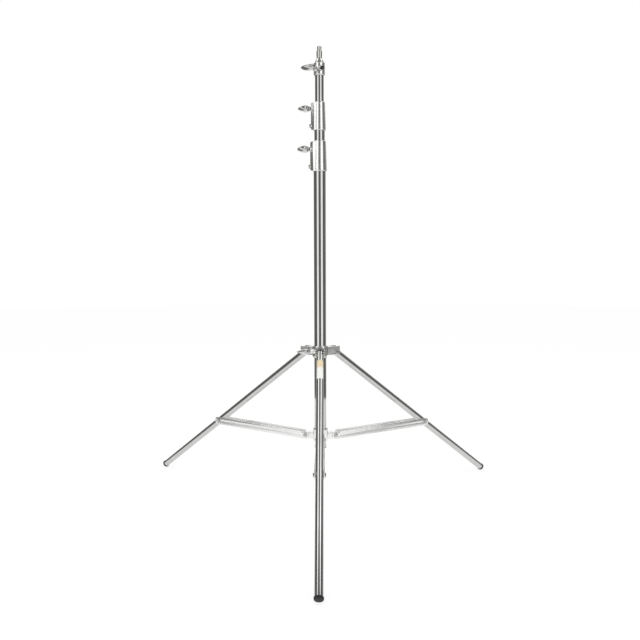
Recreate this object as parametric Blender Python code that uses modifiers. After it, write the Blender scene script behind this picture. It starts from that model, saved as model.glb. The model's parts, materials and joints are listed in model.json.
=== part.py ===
"""Steel light stand: three tubular legs with channel braces, a column and two telescoping risers.

Metres, +Z up. The origin lies on the floor under the middle of the footprint. The front leg
points along -Y, the other two to the back left and back right. The legs are spread and both
risers are pushed in.
"""

from math import acos, cos, degrees, pi, radians, sin, sqrt, tan

import bmesh
import bpy
from mathutils import Matrix, Vector

# Running gap between a moving piece and its seat, and between pieces that touch
GAP = 0.0003
# How far a cutting shape runs past what it cuts
OVERRUN = 0.004
# Points closer than this are one point.
MERGE_DISTANCE = 0.000005

# Column and risers
COLUMN_DIAMETER = 0.0350
COLUMN_WALL = 0.0015
RISER_1_DIAMETER = 0.0300
RISER_1_WALL = 0.0012
RISER_2_DIAMETER = 0.0250
RISER_2_WALL = 0.0012
COLUMN_BOTTOM_HEIGHT = 0.1635
COLUMN_LENGTH = 0.8450
# Pushed in, each riser's guide stops this far above the plug or guide under it, and this
# much of each riser shows, from one casting up to the next.
RISER_REST_GAP = 0.0010
RISER_1_SHOWN = 0.0290
RISER_2_SHOWN = 0.0732

# Plastic guide at the foot of each riser, and the plug under the column
GUIDE_LENGTH = 0.0180
GUIDE_SPIGOT_LENGTH = 0.0200
GUIDE_WALL = 0.0025
END_PLUG_FLANGE = 0.0030
END_PLUG_SPIGOT = 0.0180
END_PLUG_BORE_RADIUS = 0.0050

# Clamp collar castings, the lower one on the column and the upper one on riser 1
COLUMN_COLLAR_HEIGHT = 0.0860
RISER_COLLAR_HEIGHT = 0.0800
COLLAR_SEAT_DEPTH = 0.0370
COLLAR_WALL = 0.0031
COLLAR_TOP_WALL = 0.0032
COLLAR_CHAMFER = 0.0022
# The rib leaves the sleeve on two tangents, then narrows to its face.
RIB_REACH = 0.0095
RIB_FACE_WIDTH = 0.0100
RIB_FACE_DEPTH = 0.0085
RIB_TANGENT = radians(26)
RIB_EMBED = 0.0002
RIB_END_SETBACK = 0.0012
RIB_END_CHAMFER = 0.0040
RIB_ROUND = 0.0010
COLUMN_SCREW_BELOW_TOP = 0.0225
RISER_SCREW_BELOW_TOP = 0.0180
SET_BOLT_ABOVE_BOTTOM = 0.0135

# Clamp screw, its brake shoe and its handle
CLAMP_SCREW_RADIUS = 0.0040
CLAMP_SCREW_FLANGE_RADIUS = 0.0058
CLAMP_SCREW_FLANGE = 0.0015
CLAMP_SCREW_IN_HANDLE = 0.0120
CLAMP_BOSS_RADIUS = 0.0072
SHOE_RADIUS = 0.0055
SHOE_THICKNESS = 0.0022
HANDLE_LENGTH = 0.0350
HANDLE_SPAN = 0.0480
HANDLE_THICKNESS = 0.0175
HANDLE_HUB_RADIUS = 0.0070
HANDLE_HUB_TIP_RADIUS = 0.0053
HANDLE_HUB_LENGTH = 0.0175
# How far each handle is turned from level, its front wing up
HANDLE_TURN = {
    "column": radians(6),
    "riser_1": radians(1),
    "top": radians(-1),
    "leg_collar": radians(8),
}
# The handle's cage lies outside its rounded body: its start and end, half span and half
# thickness, as shares of the handle's length, span and thickness. Its outer side is thinner
# by a share.
CAGE_START = 0.03
CAGE_END = 1.11
CAGE_HALF_SPAN = 0.18
CAGE_HALF_THICKNESS = 0.82
CAGE_OUTER_SHARE = 0.10
# Each wing leaves the cage in two steps: how far across the span, how far along the length,
# and the shares of length and thickness that each step leaves
WING_STEPS = ((0.35, 0.58, 0.74, 0.80), (0.51, 0.62, 0.62, 0.62))

# Hexagon bolts
SET_BOLT_RADIUS = 0.0030
SET_BOLT_HEAD_RADIUS = 0.0060
SET_BOLT_HEAD = 0.0045
PIVOT_BOLT_RADIUS = 0.0030
PIVOT_HEAD_RADIUS = 0.0058
PIVOT_HEAD = 0.0040
PIVOT_NUT = 0.0050
PIVOT_BOLT_END = 0.0015
TIP_HEAD_RADIUS = 0.0060
TIP_HEAD = 0.0028

# Top casting with its 16 mm spigot
TOP_CASTING_DIAMETER = 0.0320
TOP_CASTING_HEIGHT = 0.0360
TOP_CASTING_CHAMFER = 0.0020
TOP_CASTING_SPIGOT = 0.0250
TOP_BOSS_REACH = 0.0215
TOP_HANDLE_AZIMUTH = radians(222)
TOP_BOLT_AZIMUTH = radians(295)
TOP_BOLT_REACH = 0.0170
STUD_DIAMETER = 0.0160
STUD_TIP_DIAMETER = 0.0128
STUD_TIP_LENGTH = 0.0095
STUD_GROOVE_DIAMETER = 0.0108
STUD_GROOVE_LENGTH = 0.0030
STUD_WAIST_DIAMETER = 0.0148
STUD_WAIST_LENGTH = 0.0030
STUD_BODY_LENGTH = 0.0155
STUD_BELL_LENGTH = 0.0140
STUD_BELL_CURVE = 1.5
STUD_FLANGE_DIAMETER = 0.0270
STUD_TENON_LENGTH = 0.0400
STUD_CHAMFER = 0.0010

# Legs, anticlockwise from the front: the spread is measured from the column, stand open
LEG_NAMES = ("front", "right", "left")
FRONT_LEG_AZIMUTH = radians(-90)
LEG_SPREAD = radians(52.9)
LEG_DIAMETER = 0.0205
LEG_WALL = 0.0015
LEG_LENGTH = 0.7240
LEG_TOP_BEYOND_PIVOT = 0.0090
LEG_PIVOT_RADIUS = 0.0530
LEG_BUSH_RADIUS = 0.0050
BRACE_PIVOT_ON_LEG = 0.4095
TIP_SLEEVE_RADIUS = 0.0060

# Foot plug, pressed a little flat on the floor
PLUG_RADIUS = 0.0112
PLUG_LENGTH = 0.0070
PLUG_ROUND = 0.0035
PLUG_CROWN_EDGE = radians(80)
PLUG_SPIGOT = 0.0180
PLUG_FLAT_DEPTH = 0.0005

# Blank label on the front leg
LABEL_START = 0.0260
LABEL_LENGTH = 0.0720
LABEL_THICKNESS = 0.0004
LABEL_HALF_ANGLE = radians(56)

# Rims of the two ring castings on the column
RING_CHAMFER = 0.0015

# Sliding leg collar
LEG_COLLAR_HEIGHT = 0.0300
LEG_COLLAR_WALL = 0.0042
LEG_COLLAR_BELOW_PIVOT = 0.0074
EAR_THICKNESS = 0.0040
EAR_SIDE_GAP = 0.0005
EAR_HEIGHT = 0.0260
EAR_NOSE = 0.0064
EAR_CORNER = 0.0020
EAR_ROOT_RADIUS = 0.0360
LEG_HANDLE_AZIMUTH = radians(205)
LEG_BOSS_REACH = 0.0350

# Fixed brace collar at the foot of the column
BASE_COLLAR_HEIGHT = 0.0430
BASE_COLLAR_BELOW_PIVOT = 0.0175
BASE_COLLAR_WALL = 0.0040
BASE_BOLT_AZIMUTH = radians(90)
LUG_NOSE = 0.0095
BRACE_PIVOT_RADIUS = 0.0460

# Channel braces
BRACE_RISE = radians(0.5)
BRACE_HEIGHT = 0.0240
BRACE_WALL = 0.0014
BRACE_SIDE_CLEARANCE = 0.0004
BRACE_BACK_ROUND = 0.0053
BRACE_END_ROUND = 0.0123
BRACE_END_HALF_ANGLE = radians(74)
BRACE_BACK_START = 0.0130
BRACE_CORNER_DROP = 0.0065
BRACE_SLOT_START = 0.2200
SLOT_SIDE_CLEARANCE = 0.0006
RIVET_RADIUS = 0.0035
RIVET_HEAD_RADIUS = 0.0062
RIVET_HEAD = 0.0028
RIVET_FACE_RADIUS = 0.0043
RIVET_RIM = 0.0008

# Facets of round pieces: of a full turn, of a half turn on a plate's end, of a corner
TUBE_STEPS = 32
LEG_STEPS = 24
CASTING_STEPS = 28
SMALL_STEPS = 12
LABEL_STEPS = 8
END_STEPS = 8
CORNER_STEPS = 4
HEXAGON = 6
SHARP_ANGLE = radians(35)

# Worked out from the sizes above
COLUMN_RADIUS = COLUMN_DIAMETER / 2
RISER_1_RADIUS = RISER_1_DIAMETER / 2
RISER_2_RADIUS = RISER_2_DIAMETER / 2
LEG_RADIUS = LEG_DIAMETER / 2
STUD_RADIUS = STUD_DIAMETER / 2
TOP_CASTING_RADIUS = TOP_CASTING_DIAMETER / 2
EAR_INSIDE = LEG_RADIUS + EAR_SIDE_GAP
EAR_OUTSIDE = EAR_INSIDE + EAR_THICKNESS
BRACE_INSIDE = PLUG_RADIUS + BRACE_SIDE_CLEARANCE
BRACE_OUTSIDE = BRACE_INSIDE + BRACE_WALL
PLUG_CORNER = PLUG_RADIUS - PLUG_ROUND

# The leg pivot stands as high as the leaning leg and its rounded plug make it.
LEG_PIVOT_HEIGHT = (
    (LEG_LENGTH - PLUG_ROUND) * cos(LEG_SPREAD)
    + PLUG_CORNER * sin(LEG_SPREAD)
    + PLUG_ROUND
    - PLUG_FLAT_DEPTH
)
# The brace runs from its fixed pivot to the leg, rising a little outwards.
BRACE_TIP_RADIUS = LEG_PIVOT_RADIUS + BRACE_PIVOT_ON_LEG * sin(LEG_SPREAD)
BRACE_TIP_HEIGHT = LEG_PIVOT_HEIGHT - BRACE_PIVOT_ON_LEG * cos(LEG_SPREAD)
BRACE_LENGTH = (BRACE_TIP_RADIUS - BRACE_PIVOT_RADIUS) / cos(BRACE_RISE)
BRACE_PIVOT_HEIGHT = BRACE_TIP_HEIGHT - BRACE_LENGTH * sin(BRACE_RISE)
# Folded, the leg is upright beside the column and the brace nearly so.
PIVOT_OFFSET = LEG_PIVOT_RADIUS - BRACE_PIVOT_RADIUS
FOLDED_BRACE_ANGLE = acos(PIVOT_OFFSET / BRACE_LENGTH)
FOLD_TRAVEL = (
    BRACE_PIVOT_HEIGHT
    + sqrt(BRACE_LENGTH**2 - PIVOT_OFFSET**2)
    + BRACE_PIVOT_ON_LEG
    - LEG_PIVOT_HEIGHT
)

COLUMN_TOP_HEIGHT = COLUMN_BOTTOM_HEIGHT + COLUMN_LENGTH
COLUMN_COLLAR_BOTTOM = COLUMN_TOP_HEIGHT + GAP - COLLAR_SEAT_DEPTH
RISER_1_BOTTOM_HEIGHT = COLUMN_BOTTOM_HEIGHT + END_PLUG_SPIGOT + RISER_REST_GAP + GUIDE_LENGTH
RISER_COLLAR_BOTTOM = COLUMN_COLLAR_BOTTOM + COLUMN_COLLAR_HEIGHT + RISER_1_SHOWN
RISER_1_TOP_HEIGHT = RISER_COLLAR_BOTTOM + COLLAR_SEAT_DEPTH - GAP
RISER_1_LENGTH = RISER_1_TOP_HEIGHT - RISER_1_BOTTOM_HEIGHT
RISER_2_BOTTOM_HEIGHT = (
    RISER_1_BOTTOM_HEIGHT + GUIDE_SPIGOT_LENGTH + RISER_REST_GAP + GUIDE_LENGTH
)
RISER_2_TOP_HEIGHT = RISER_COLLAR_BOTTOM + RISER_COLLAR_HEIGHT + RISER_2_SHOWN
RISER_2_LENGTH = RISER_2_TOP_HEIGHT - RISER_2_BOTTOM_HEIGHT
TOP_CASTING_BOTTOM = RISER_2_TOP_HEIGHT + GAP
TOP_CASTING_TOP = TOP_CASTING_BOTTOM + TOP_CASTING_HEIGHT
BASE_COLLAR_BOTTOM = BRACE_PIVOT_HEIGHT - BASE_COLLAR_BELOW_PIVOT


def clear_scene():
    for obj in list(bpy.data.objects):
        bpy.data.objects.remove(obj, do_unlink=True)


def new_finish(name, colour, roughness, metallic):
    finish = bpy.data.materials.new(name)
    finish.use_nodes = True
    shader = finish.node_tree.nodes["Principled BSDF"]
    shader.inputs["Base Color"].default_value = (*colour, 1)
    shader.inputs["Roughness"].default_value = roughness
    shader.inputs["Metallic"].default_value = metallic
    return finish


# Shapes are meshes in their piece's own frame, made by these functions.


def evaluated(obj):
    """The object's mesh with its modifiers applied. The object is removed."""
    bpy.context.view_layer.update()
    graph = bpy.context.evaluated_depsgraph_get()
    mesh = bpy.data.meshes.new_from_object(obj.evaluated_get(graph))
    bpy.data.objects.remove(obj, do_unlink=True)
    return mesh


def loose_object(data):
    obj = bpy.data.objects.new("shape", data)
    bpy.context.scene.collection.objects.link(obj)
    return obj


def mesh_of(bm):
    mesh = bpy.data.meshes.new("shape")
    bm.to_mesh(mesh)
    bm.free()
    return mesh


def moved(mesh, matrix):
    mesh.transform(matrix)
    return mesh


def along_x(mesh, start=0.0):
    """Turns a shape from the Z axis to the X axis, and moves its zero to start."""
    return moved(mesh, Matrix.Translation((start, 0, 0)) @ Matrix.Rotation(pi / 2, 4, "Y"))


def along_y(mesh, start=0.0):
    """Turns a shape from the Z axis to the Y axis, and moves its zero to start."""
    return moved(mesh, Matrix.Translation((0, start, 0)) @ Matrix.Rotation(-pi / 2, 4, "X"))


def about_z(mesh, angle):
    return moved(mesh, Matrix.Rotation(angle, 4, "Z"))


def turned(profile, steps, ring=False):
    """Turns (radius, height) points about Z. They run down the outer side; a ring's close."""
    ends = [(i, i + 1) for i in range(len(profile) - 1)]
    if ring:
        ends.append((len(profile) - 1, 0))
    mesh = bpy.data.meshes.new("profile")
    mesh.from_pydata([(radius, 0, height) for radius, height in profile], ends, [])
    obj = loose_object(mesh)
    screw = obj.modifiers.new("turn", "SCREW")
    screw.steps = steps
    screw.render_steps = steps
    screw.use_merge_vertices = True
    screw.merge_threshold = MERGE_DISTANCE
    return evaluated(obj)


def tube(outer, inner, low, high, steps):
    return turned([(outer, high), (outer, low), (inner, low), (inner, high)], steps, ring=True)


def cylinder(radius, low, high, steps):
    bm = bmesh.new()
    bmesh.ops.create_cone(
        bm, cap_ends=True, segments=steps, radius1=radius, radius2=radius, depth=high - low
    )
    bmesh.ops.translate(bm, vec=(0, 0, (low + high) / 2), verts=bm.verts)
    return mesh_of(bm)


def box(low, high):
    bm = bmesh.new()
    bmesh.ops.create_cube(bm, size=1)
    size = [b - a for a, b in zip(low, high)]
    middle = [(a + b) / 2 for a, b in zip(low, high)]
    bmesh.ops.scale(bm, vec=size, verts=bm.verts)
    bmesh.ops.translate(bm, vec=middle, verts=bm.verts)
    return mesh_of(bm)


def arc(centre, radius, start, end, steps):
    x, y = centre
    angles = [start + (end - start) * i / steps for i in range(steps + 1)]
    return [(x + radius * cos(angle), y + radius * sin(angle)) for angle in angles]


def upright_plate(outline, thickness):
    """A plate in the XZ plane, thickened evenly to both sides of it."""
    curve = bpy.data.curves.new("outline", "CURVE")
    curve.dimensions = "2D"
    curve.fill_mode = "BOTH"
    curve.extrude = thickness / 2
    spline = curve.splines.new("POLY")
    spline.points.add(len(outline) - 1)
    for point, (x, y) in zip(spline.points, outline):
        point.co = (x, y, 0, 1)
    spline.use_cyclic_u = True
    mesh = evaluated(loose_object(curve))
    bm = bmesh.new()
    bm.from_mesh(mesh)
    bmesh.ops.remove_doubles(bm, verts=bm.verts, dist=MERGE_DISTANCE)
    bmesh.ops.recalc_face_normals(bm, faces=bm.faces)
    return moved(mesh_of(bm), Matrix.Rotation(pi / 2, 4, "X"))


def bevelled(mesh, width, segments):
    obj = loose_object(mesh)
    bevel = obj.modifiers.new("round", "BEVEL")
    bevel.width = width
    bevel.segments = segments
    return evaluated(obj)


def combined(body, operation, tools):
    """The body with each tool joined to it, cut from it or kept in common with it."""
    obj = loose_object(body)
    helpers = [loose_object(tool) for tool in tools]
    for helper in helpers:
        helper.hide_render = True
        helper.display_type = "WIRE"
        boolean = obj.modifiers.new("tool", "BOOLEAN")
        boolean.operation = operation
        boolean.solver = "EXACT"
        boolean.object = helper
    mesh = evaluated(obj)
    for helper in helpers:
        bpy.data.objects.remove(helper, do_unlink=True)
    return mesh


def joined(body, *tools):
    return combined(body, "UNION", tools)


def cut(body, *tools):
    return combined(body, "DIFFERENCE", tools)


def add_empty(name, parent, location=(0, 0, 0), rotation=(0, 0, 0)):
    empty = bpy.data.objects.new(name, None)
    empty.parent = parent
    empty.location = location
    empty.rotation_euler = rotation
    STAND_PARTS.objects.link(empty)
    return empty


def add_part(name, mesh, finish, parent, location=(0, 0, 0), rotation=(0, 0, 0)):
    """A named piece. Its round faces are shaded smooth up to its real edges."""
    obj = bpy.data.objects.new(name, mesh)
    if not mesh.materials:
        mesh.materials.append(None)
    mesh.materials[0] = finish
    mesh.shade_smooth()
    mesh.set_sharp_from_angle(angle=SHARP_ANGLE)
    obj.parent = parent
    obj.location = location
    obj.rotation_euler = rotation
    STAND_PARTS.objects.link(obj)
    return obj


# Fasteners


def hexagon_bolt(shank_radius, shank_length, head_radius, head_length):
    """A bolt along X: its shank runs back from zero and its head forward."""
    shank = cylinder(shank_radius, -shank_length, head_length / 2, SMALL_STEPS)
    head = cylinder(head_radius, 0, head_length, HEXAGON)
    return along_x(joined(head, shank))


def hexagon_nut(bore_radius, radius, length):
    """A nut along X that starts at zero."""
    body = cylinder(radius, 0, length, HEXAGON)
    bore = cylinder(bore_radius, -OVERRUN, length + OVERRUN, SMALL_STEPS)
    return along_x(cut(body, bore))


def clamp_screw(tip_to_face):
    """A clamp screw along X. Zero is the casting's face, where its flange sits."""
    profile = [
        (0, CLAMP_SCREW_IN_HANDLE),
        (CLAMP_SCREW_RADIUS, CLAMP_SCREW_IN_HANDLE),
        (CLAMP_SCREW_RADIUS, CLAMP_SCREW_FLANGE + GAP),
        (CLAMP_SCREW_FLANGE_RADIUS, CLAMP_SCREW_FLANGE + GAP),
        (CLAMP_SCREW_FLANGE_RADIUS, GAP),
        (CLAMP_SCREW_RADIUS, GAP),
        (CLAMP_SCREW_RADIUS, -tip_to_face),
        (0, -tip_to_face),
    ]
    return along_x(turned(profile, SMALL_STEPS))


def wing_handle():
    """A cast handle along X: a round hub that spreads into two wings along Y."""
    body_start = HANDLE_LENGTH * CAGE_START
    body_end = HANDLE_LENGTH * CAGE_END
    half_span = HANDLE_SPAN * CAGE_HALF_SPAN
    half_thickness = HANDLE_THICKNESS * CAGE_HALF_THICKNESS
    bm = bmesh.new()
    bmesh.ops.create_cube(bm, size=1)
    size = (body_end - body_start, 2 * half_span, 2 * half_thickness)
    bmesh.ops.scale(bm, vec=size, verts=bm.verts)
    bmesh.ops.translate(bm, vec=((body_start + body_end) / 2, 0, 0), verts=bm.verts)
    outer_side = max(bm.faces, key=lambda face: face.calc_center_median().x)
    bmesh.ops.scale(bm, vec=(1, 1, CAGE_OUTER_SHARE), verts=outer_side.verts)
    for side in (1, -1):
        for reach, middle, length_share, thickness_share in WING_STEPS:
            outermost = max(bm.faces, key=lambda face: side * face.calc_center_median().y)
            extruded = bmesh.ops.extrude_discrete_faces(bm, faces=[outermost])["faces"][0]
            corners = extruded.verts
            centre = extruded.calc_center_median()
            target = Vector((HANDLE_LENGTH * middle, side * HANDLE_SPAN * reach, 0))
            bmesh.ops.translate(bm, vec=target - centre, verts=corners)
            around = Matrix.Translation(-target)
            shares = (length_share, 1, thickness_share)
            bmesh.ops.scale(bm, vec=shares, space=around, verts=corners)
    bmesh.ops.recalc_face_normals(bm, faces=bm.faces)
    wings = loose_object(mesh_of(bm))
    rounding = wings.modifiers.new("rounding", "SUBSURF")
    rounding.levels = 2
    rounding.render_levels = 2
    hub_start = CLAMP_SCREW_FLANGE + 2 * GAP
    hub_profile = [
        (0, HANDLE_HUB_LENGTH),
        (HANDLE_HUB_TIP_RADIUS, HANDLE_HUB_LENGTH),
        (HANDLE_HUB_RADIUS, hub_start),
        (0, hub_start),
    ]
    hub = along_x(turned(hub_profile, SMALL_STEPS))
    socket_end = CLAMP_SCREW_IN_HANDLE + GAP
    socket = along_x(cylinder(CLAMP_SCREW_RADIUS + GAP, -OVERRUN, socket_end, SMALL_STEPS))
    return cut(joined(evaluated(wings), hub), socket)


def brake_shoe():
    """A round shoe along X that bears on the tube inside a clamp."""
    profile = [(0, SHOE_THICKNESS), (SHOE_RADIUS, SHOE_THICKNESS), (SHOE_RADIUS, 0), (0, 0)]
    return along_x(turned(profile, SMALL_STEPS))


def clamp_passage(tube_radius, reach):
    """The cut for a clamp along X: a pocket for the shoe, then a bore for the screw."""
    pocket_end = tube_radius + SHOE_THICKNESS + 2 * GAP
    pocket = cylinder(SHOE_RADIUS + GAP, tube_radius / 2, pocket_end, SMALL_STEPS)
    bore = cylinder(CLAMP_SCREW_RADIUS + GAP, tube_radius / 2, reach + OVERRUN, SMALL_STEPS)
    return along_x(joined(bore, pocket))


def add_clamp(prefix, face_reach, tube_radius, azimuth, carrier, height, finishes):
    """The screw, shoe and handle of one clamp, on the carrier's own axis."""
    metal, shoe_finish, handle_finish = finishes
    axis = add_empty(prefix + "_clamp_axis", carrier, (0, 0, height), (0, 0, azimuth))
    tip_to_face = face_reach - tube_radius - GAP
    if shoe_finish:
        tip_to_face -= SHOE_THICKNESS + GAP
        shoe_place = (tube_radius + GAP, 0, 0)
        add_part(prefix + "_brake_shoe", brake_shoe(), shoe_finish, axis, shoe_place)
    turn = add_empty(prefix + "_handle_turn", axis, (face_reach, 0, 0), (HANDLE_TURN[prefix], 0, 0))
    add_part(prefix + "_clamp_screw", clamp_screw(tip_to_face), metal, turn)
    add_part(prefix + "_wing_handle", WING_HANDLE, handle_finish, turn)


# Tubes, risers and their collars


def riser_guide(tube_radius, tube_inside, outer_inside):
    """A plastic guide: its flange fills the tube outside it, its spigot sits in its own."""
    flange_radius = outer_inside - GAP
    spigot_radius = tube_inside - GAP
    bore_radius = spigot_radius - GUIDE_WALL
    profile = [
        (spigot_radius, GUIDE_SPIGOT_LENGTH),
        (spigot_radius, -GAP),
        (flange_radius, -GAP),
        (flange_radius, -GUIDE_LENGTH + GAP),
        (bore_radius, -GUIDE_LENGTH + GAP),
        (bore_radius, GUIDE_SPIGOT_LENGTH),
    ]
    return turned(profile, CASTING_STEPS, ring=True)


def rib_block(height, foot_radius, top_radius, reach):
    """The rib seen from above, drawn up along the tapered sleeve."""
    root_x = reach - RIB_FACE_DEPTH
    points = []
    for radius, level in ((foot_radius, 0), (top_radius, height)):
        tangent_x = (radius - RIB_EMBED) * sin(RIB_TANGENT)
        tangent_y = (radius - RIB_EMBED) * cos(RIB_TANGENT)
        root_y = tangent_y - (root_x - tangent_x) * tan(RIB_TANGENT)
        narrowing = (root_y - RIB_FACE_WIDTH / 2) / RIB_FACE_DEPTH
        end_y = RIB_FACE_WIDTH / 2 - narrowing * RIB_END_SETBACK
        side = [(tangent_x, tangent_y), (root_x, root_y), (reach + RIB_END_SETBACK, end_y)]
        points += [(x, -y, level) for x, y in side]
        points += [(x, y, level) for x, y in reversed(side)]
    count = len(points) // 2
    faces = [tuple(reversed(range(count))), tuple(range(count, 2 * count))]
    for near in range(count):
        far = (near + 1) % count
        faces.append((near, far, count + far, count + near))
    mesh = bpy.data.meshes.new("rib")
    mesh.from_pydata(points, [], faces)
    return mesh


def clamp_collar(height, screw_height, tube_radius, riser_radius):
    """A clamp casting: a tapered sleeve with a rib that carries the clamp and a set bolt."""
    foot_radius = tube_radius + COLLAR_WALL
    top_radius = riser_radius + COLLAR_TOP_WALL
    sleeve = turned(
        [
            (0, height),
            (top_radius - COLLAR_CHAMFER / 2, height),
            (top_radius, height - COLLAR_CHAMFER),
            (foot_radius, COLLAR_CHAMFER),
            (foot_radius - COLLAR_CHAMFER / 2, 0),
            (0, 0),
        ],
        CASTING_STEPS,
    )
    reach = collar_reach(tube_radius)
    low = RIB_END_SETBACK
    high = height - RIB_END_SETBACK
    side_view = upright_plate(
        [
            (0, low),
            (reach - RIB_END_CHAMFER, low),
            (reach, low + RIB_END_CHAMFER),
            (reach, high - RIB_END_CHAMFER),
            (reach - RIB_END_CHAMFER, high),
            (0, high),
        ],
        4 * foot_radius,
    )
    rib = combined(rib_block(height, foot_radius, top_radius, reach), "INTERSECT", [side_view])
    boss = along_x(cylinder(CLAMP_BOSS_RADIUS, riser_radius / 2, reach + GAP, SMALL_STEPS))
    boss = moved(boss, Matrix.Translation((0, 0, screw_height)))
    tube_bore = cylinder(tube_radius + GAP, -OVERRUN, COLLAR_SEAT_DEPTH, TUBE_STEPS)
    riser_bore = cylinder(riser_radius + GAP, OVERRUN, height + OVERRUN, TUBE_STEPS)
    passage = clamp_passage(riser_radius, reach)
    passage = moved(passage, Matrix.Translation((0, 0, screw_height)))
    bolt_hole = along_x(
        cylinder(SET_BOLT_RADIUS + GAP, tube_radius / 2, reach + OVERRUN, SMALL_STEPS)
    )
    bolt_hole = moved(bolt_hole, Matrix.Translation((0, 0, SET_BOLT_ABOVE_BOTTOM)))
    body = joined(sleeve, bevelled(rib, RIB_ROUND, 2), boss)
    return cut(body, tube_bore, riser_bore, passage, bolt_hole)


def collar_reach(tube_radius):
    return tube_radius + RIB_REACH


def add_clamp_collar(prefix, carrier, bottom, heights, tube_radius, riser_radius):
    """Heights are the casting's and its clamp screw's, both from its bottom."""
    height, screw_height = heights
    reach = collar_reach(tube_radius)
    casting = clamp_collar(height, screw_height, tube_radius, riser_radius)
    add_part(prefix + "_collar", casting, POLISHED_ALLOY, carrier, (0, 0, bottom), (0, 0, pi))
    bolt_axis = add_empty(
        prefix + "_set_bolt_axis", carrier, (0, 0, bottom + SET_BOLT_ABOVE_BOTTOM), (0, 0, pi)
    )
    shank = reach - tube_radius
    bolt = hexagon_bolt(SET_BOLT_RADIUS, shank, SET_BOLT_HEAD_RADIUS, SET_BOLT_HEAD)
    add_part(prefix + "_set_bolt", bolt, ZINC_STEEL, bolt_axis, (reach + GAP, 0, 0))
    finishes = (ZINC_STEEL, NYLON, PLATED_ZINC)
    add_clamp(prefix, reach + GAP, riser_radius, pi, carrier, bottom + screw_height, finishes)


def add_column(stand):
    inside = COLUMN_RADIUS - COLUMN_WALL
    column = tube(COLUMN_RADIUS, inside, 0, COLUMN_LENGTH, TUBE_STEPS)
    add_part("column_tube", column, CHROME, stand, (0, 0, COLUMN_BOTTOM_HEIGHT))
    spigot = inside - GAP
    plug = turned(
        [
            (spigot, END_PLUG_SPIGOT),
            (spigot, -GAP),
            (COLUMN_RADIUS, -GAP),
            (COLUMN_RADIUS, -END_PLUG_FLANGE / 2),
            (COLUMN_RADIUS - END_PLUG_FLANGE / 2, -END_PLUG_FLANGE),
            (END_PLUG_BORE_RADIUS, -END_PLUG_FLANGE),
            (END_PLUG_BORE_RADIUS, END_PLUG_SPIGOT),
        ],
        CASTING_STEPS,
        ring=True,
    )
    add_part("column_end_plug", plug, BLACK_PLASTIC, stand, (0, 0, COLUMN_BOTTOM_HEIGHT))
    heights = (COLUMN_COLLAR_HEIGHT, COLUMN_COLLAR_HEIGHT - COLUMN_SCREW_BELOW_TOP)
    add_clamp_collar(
        "column", stand, COLUMN_COLLAR_BOTTOM, heights, COLUMN_RADIUS, RISER_1_RADIUS
    )


def add_riser_1(carrier):
    inside = RISER_1_RADIUS - RISER_1_WALL
    riser = tube(RISER_1_RADIUS, inside, 0, RISER_1_LENGTH, TUBE_STEPS)
    add_part("riser_1_tube", riser, CHROME, carrier)
    guide = riser_guide(RISER_1_RADIUS, inside, COLUMN_RADIUS - COLUMN_WALL)
    add_part("riser_1_guide", guide, NYLON, carrier)
    add_clamp_collar(
        "riser_1",
        carrier,
        RISER_COLLAR_BOTTOM - RISER_1_BOTTOM_HEIGHT,
        (RISER_COLLAR_HEIGHT, RISER_COLLAR_HEIGHT - RISER_SCREW_BELOW_TOP),
        RISER_1_RADIUS,
        RISER_2_RADIUS,
    )


def top_casting():
    """The head casting: a drum with two bosses and a hollow spigot down into riser 2."""
    spigot_radius = RISER_2_RADIUS - RISER_2_WALL - GAP
    drum = turned(
        [
            (0, TOP_CASTING_HEIGHT),
            (TOP_CASTING_RADIUS - TOP_CASTING_CHAMFER, TOP_CASTING_HEIGHT),
            (TOP_CASTING_RADIUS, TOP_CASTING_HEIGHT - TOP_CASTING_CHAMFER),
            (TOP_CASTING_RADIUS, TOP_CASTING_CHAMFER),
            (TOP_CASTING_RADIUS - TOP_CASTING_CHAMFER, 0),
            (spigot_radius, 0),
            (spigot_radius, -TOP_CASTING_SPIGOT),
            (0, -TOP_CASTING_SPIGOT),
        ],
        CASTING_STEPS,
    )
    half = TOP_CASTING_HEIGHT / 2
    up = Matrix.Translation((0, 0, half))
    clamp_boss = along_x(cylinder(CLAMP_BOSS_RADIUS, STUD_RADIUS, TOP_BOSS_REACH, SMALL_STEPS))
    bolt_boss = along_x(cylinder(CLAMP_BOSS_RADIUS, STUD_RADIUS, TOP_BOLT_REACH, SMALL_STEPS))
    clamp_bore = along_x(
        cylinder(CLAMP_SCREW_RADIUS + GAP, 0, TOP_BOSS_REACH + OVERRUN, SMALL_STEPS)
    )
    bolt_bore = along_x(cylinder(SET_BOLT_RADIUS + GAP, 0, TOP_BOLT_REACH + OVERRUN, SMALL_STEPS))
    stud_bore = cylinder(
        STUD_RADIUS + GAP,
        -TOP_CASTING_SPIGOT - OVERRUN,
        TOP_CASTING_HEIGHT + OVERRUN,
        CASTING_STEPS,
    )
    body = joined(
        drum,
        about_z(moved(clamp_boss, up), TOP_HANDLE_AZIMUTH),
        about_z(moved(bolt_boss, up), TOP_BOLT_AZIMUTH),
    )
    return cut(
        body,
        stud_bore,
        about_z(moved(clamp_bore, up), TOP_HANDLE_AZIMUTH),
        about_z(moved(bolt_bore, up), TOP_BOLT_AZIMUTH),
    )


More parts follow.
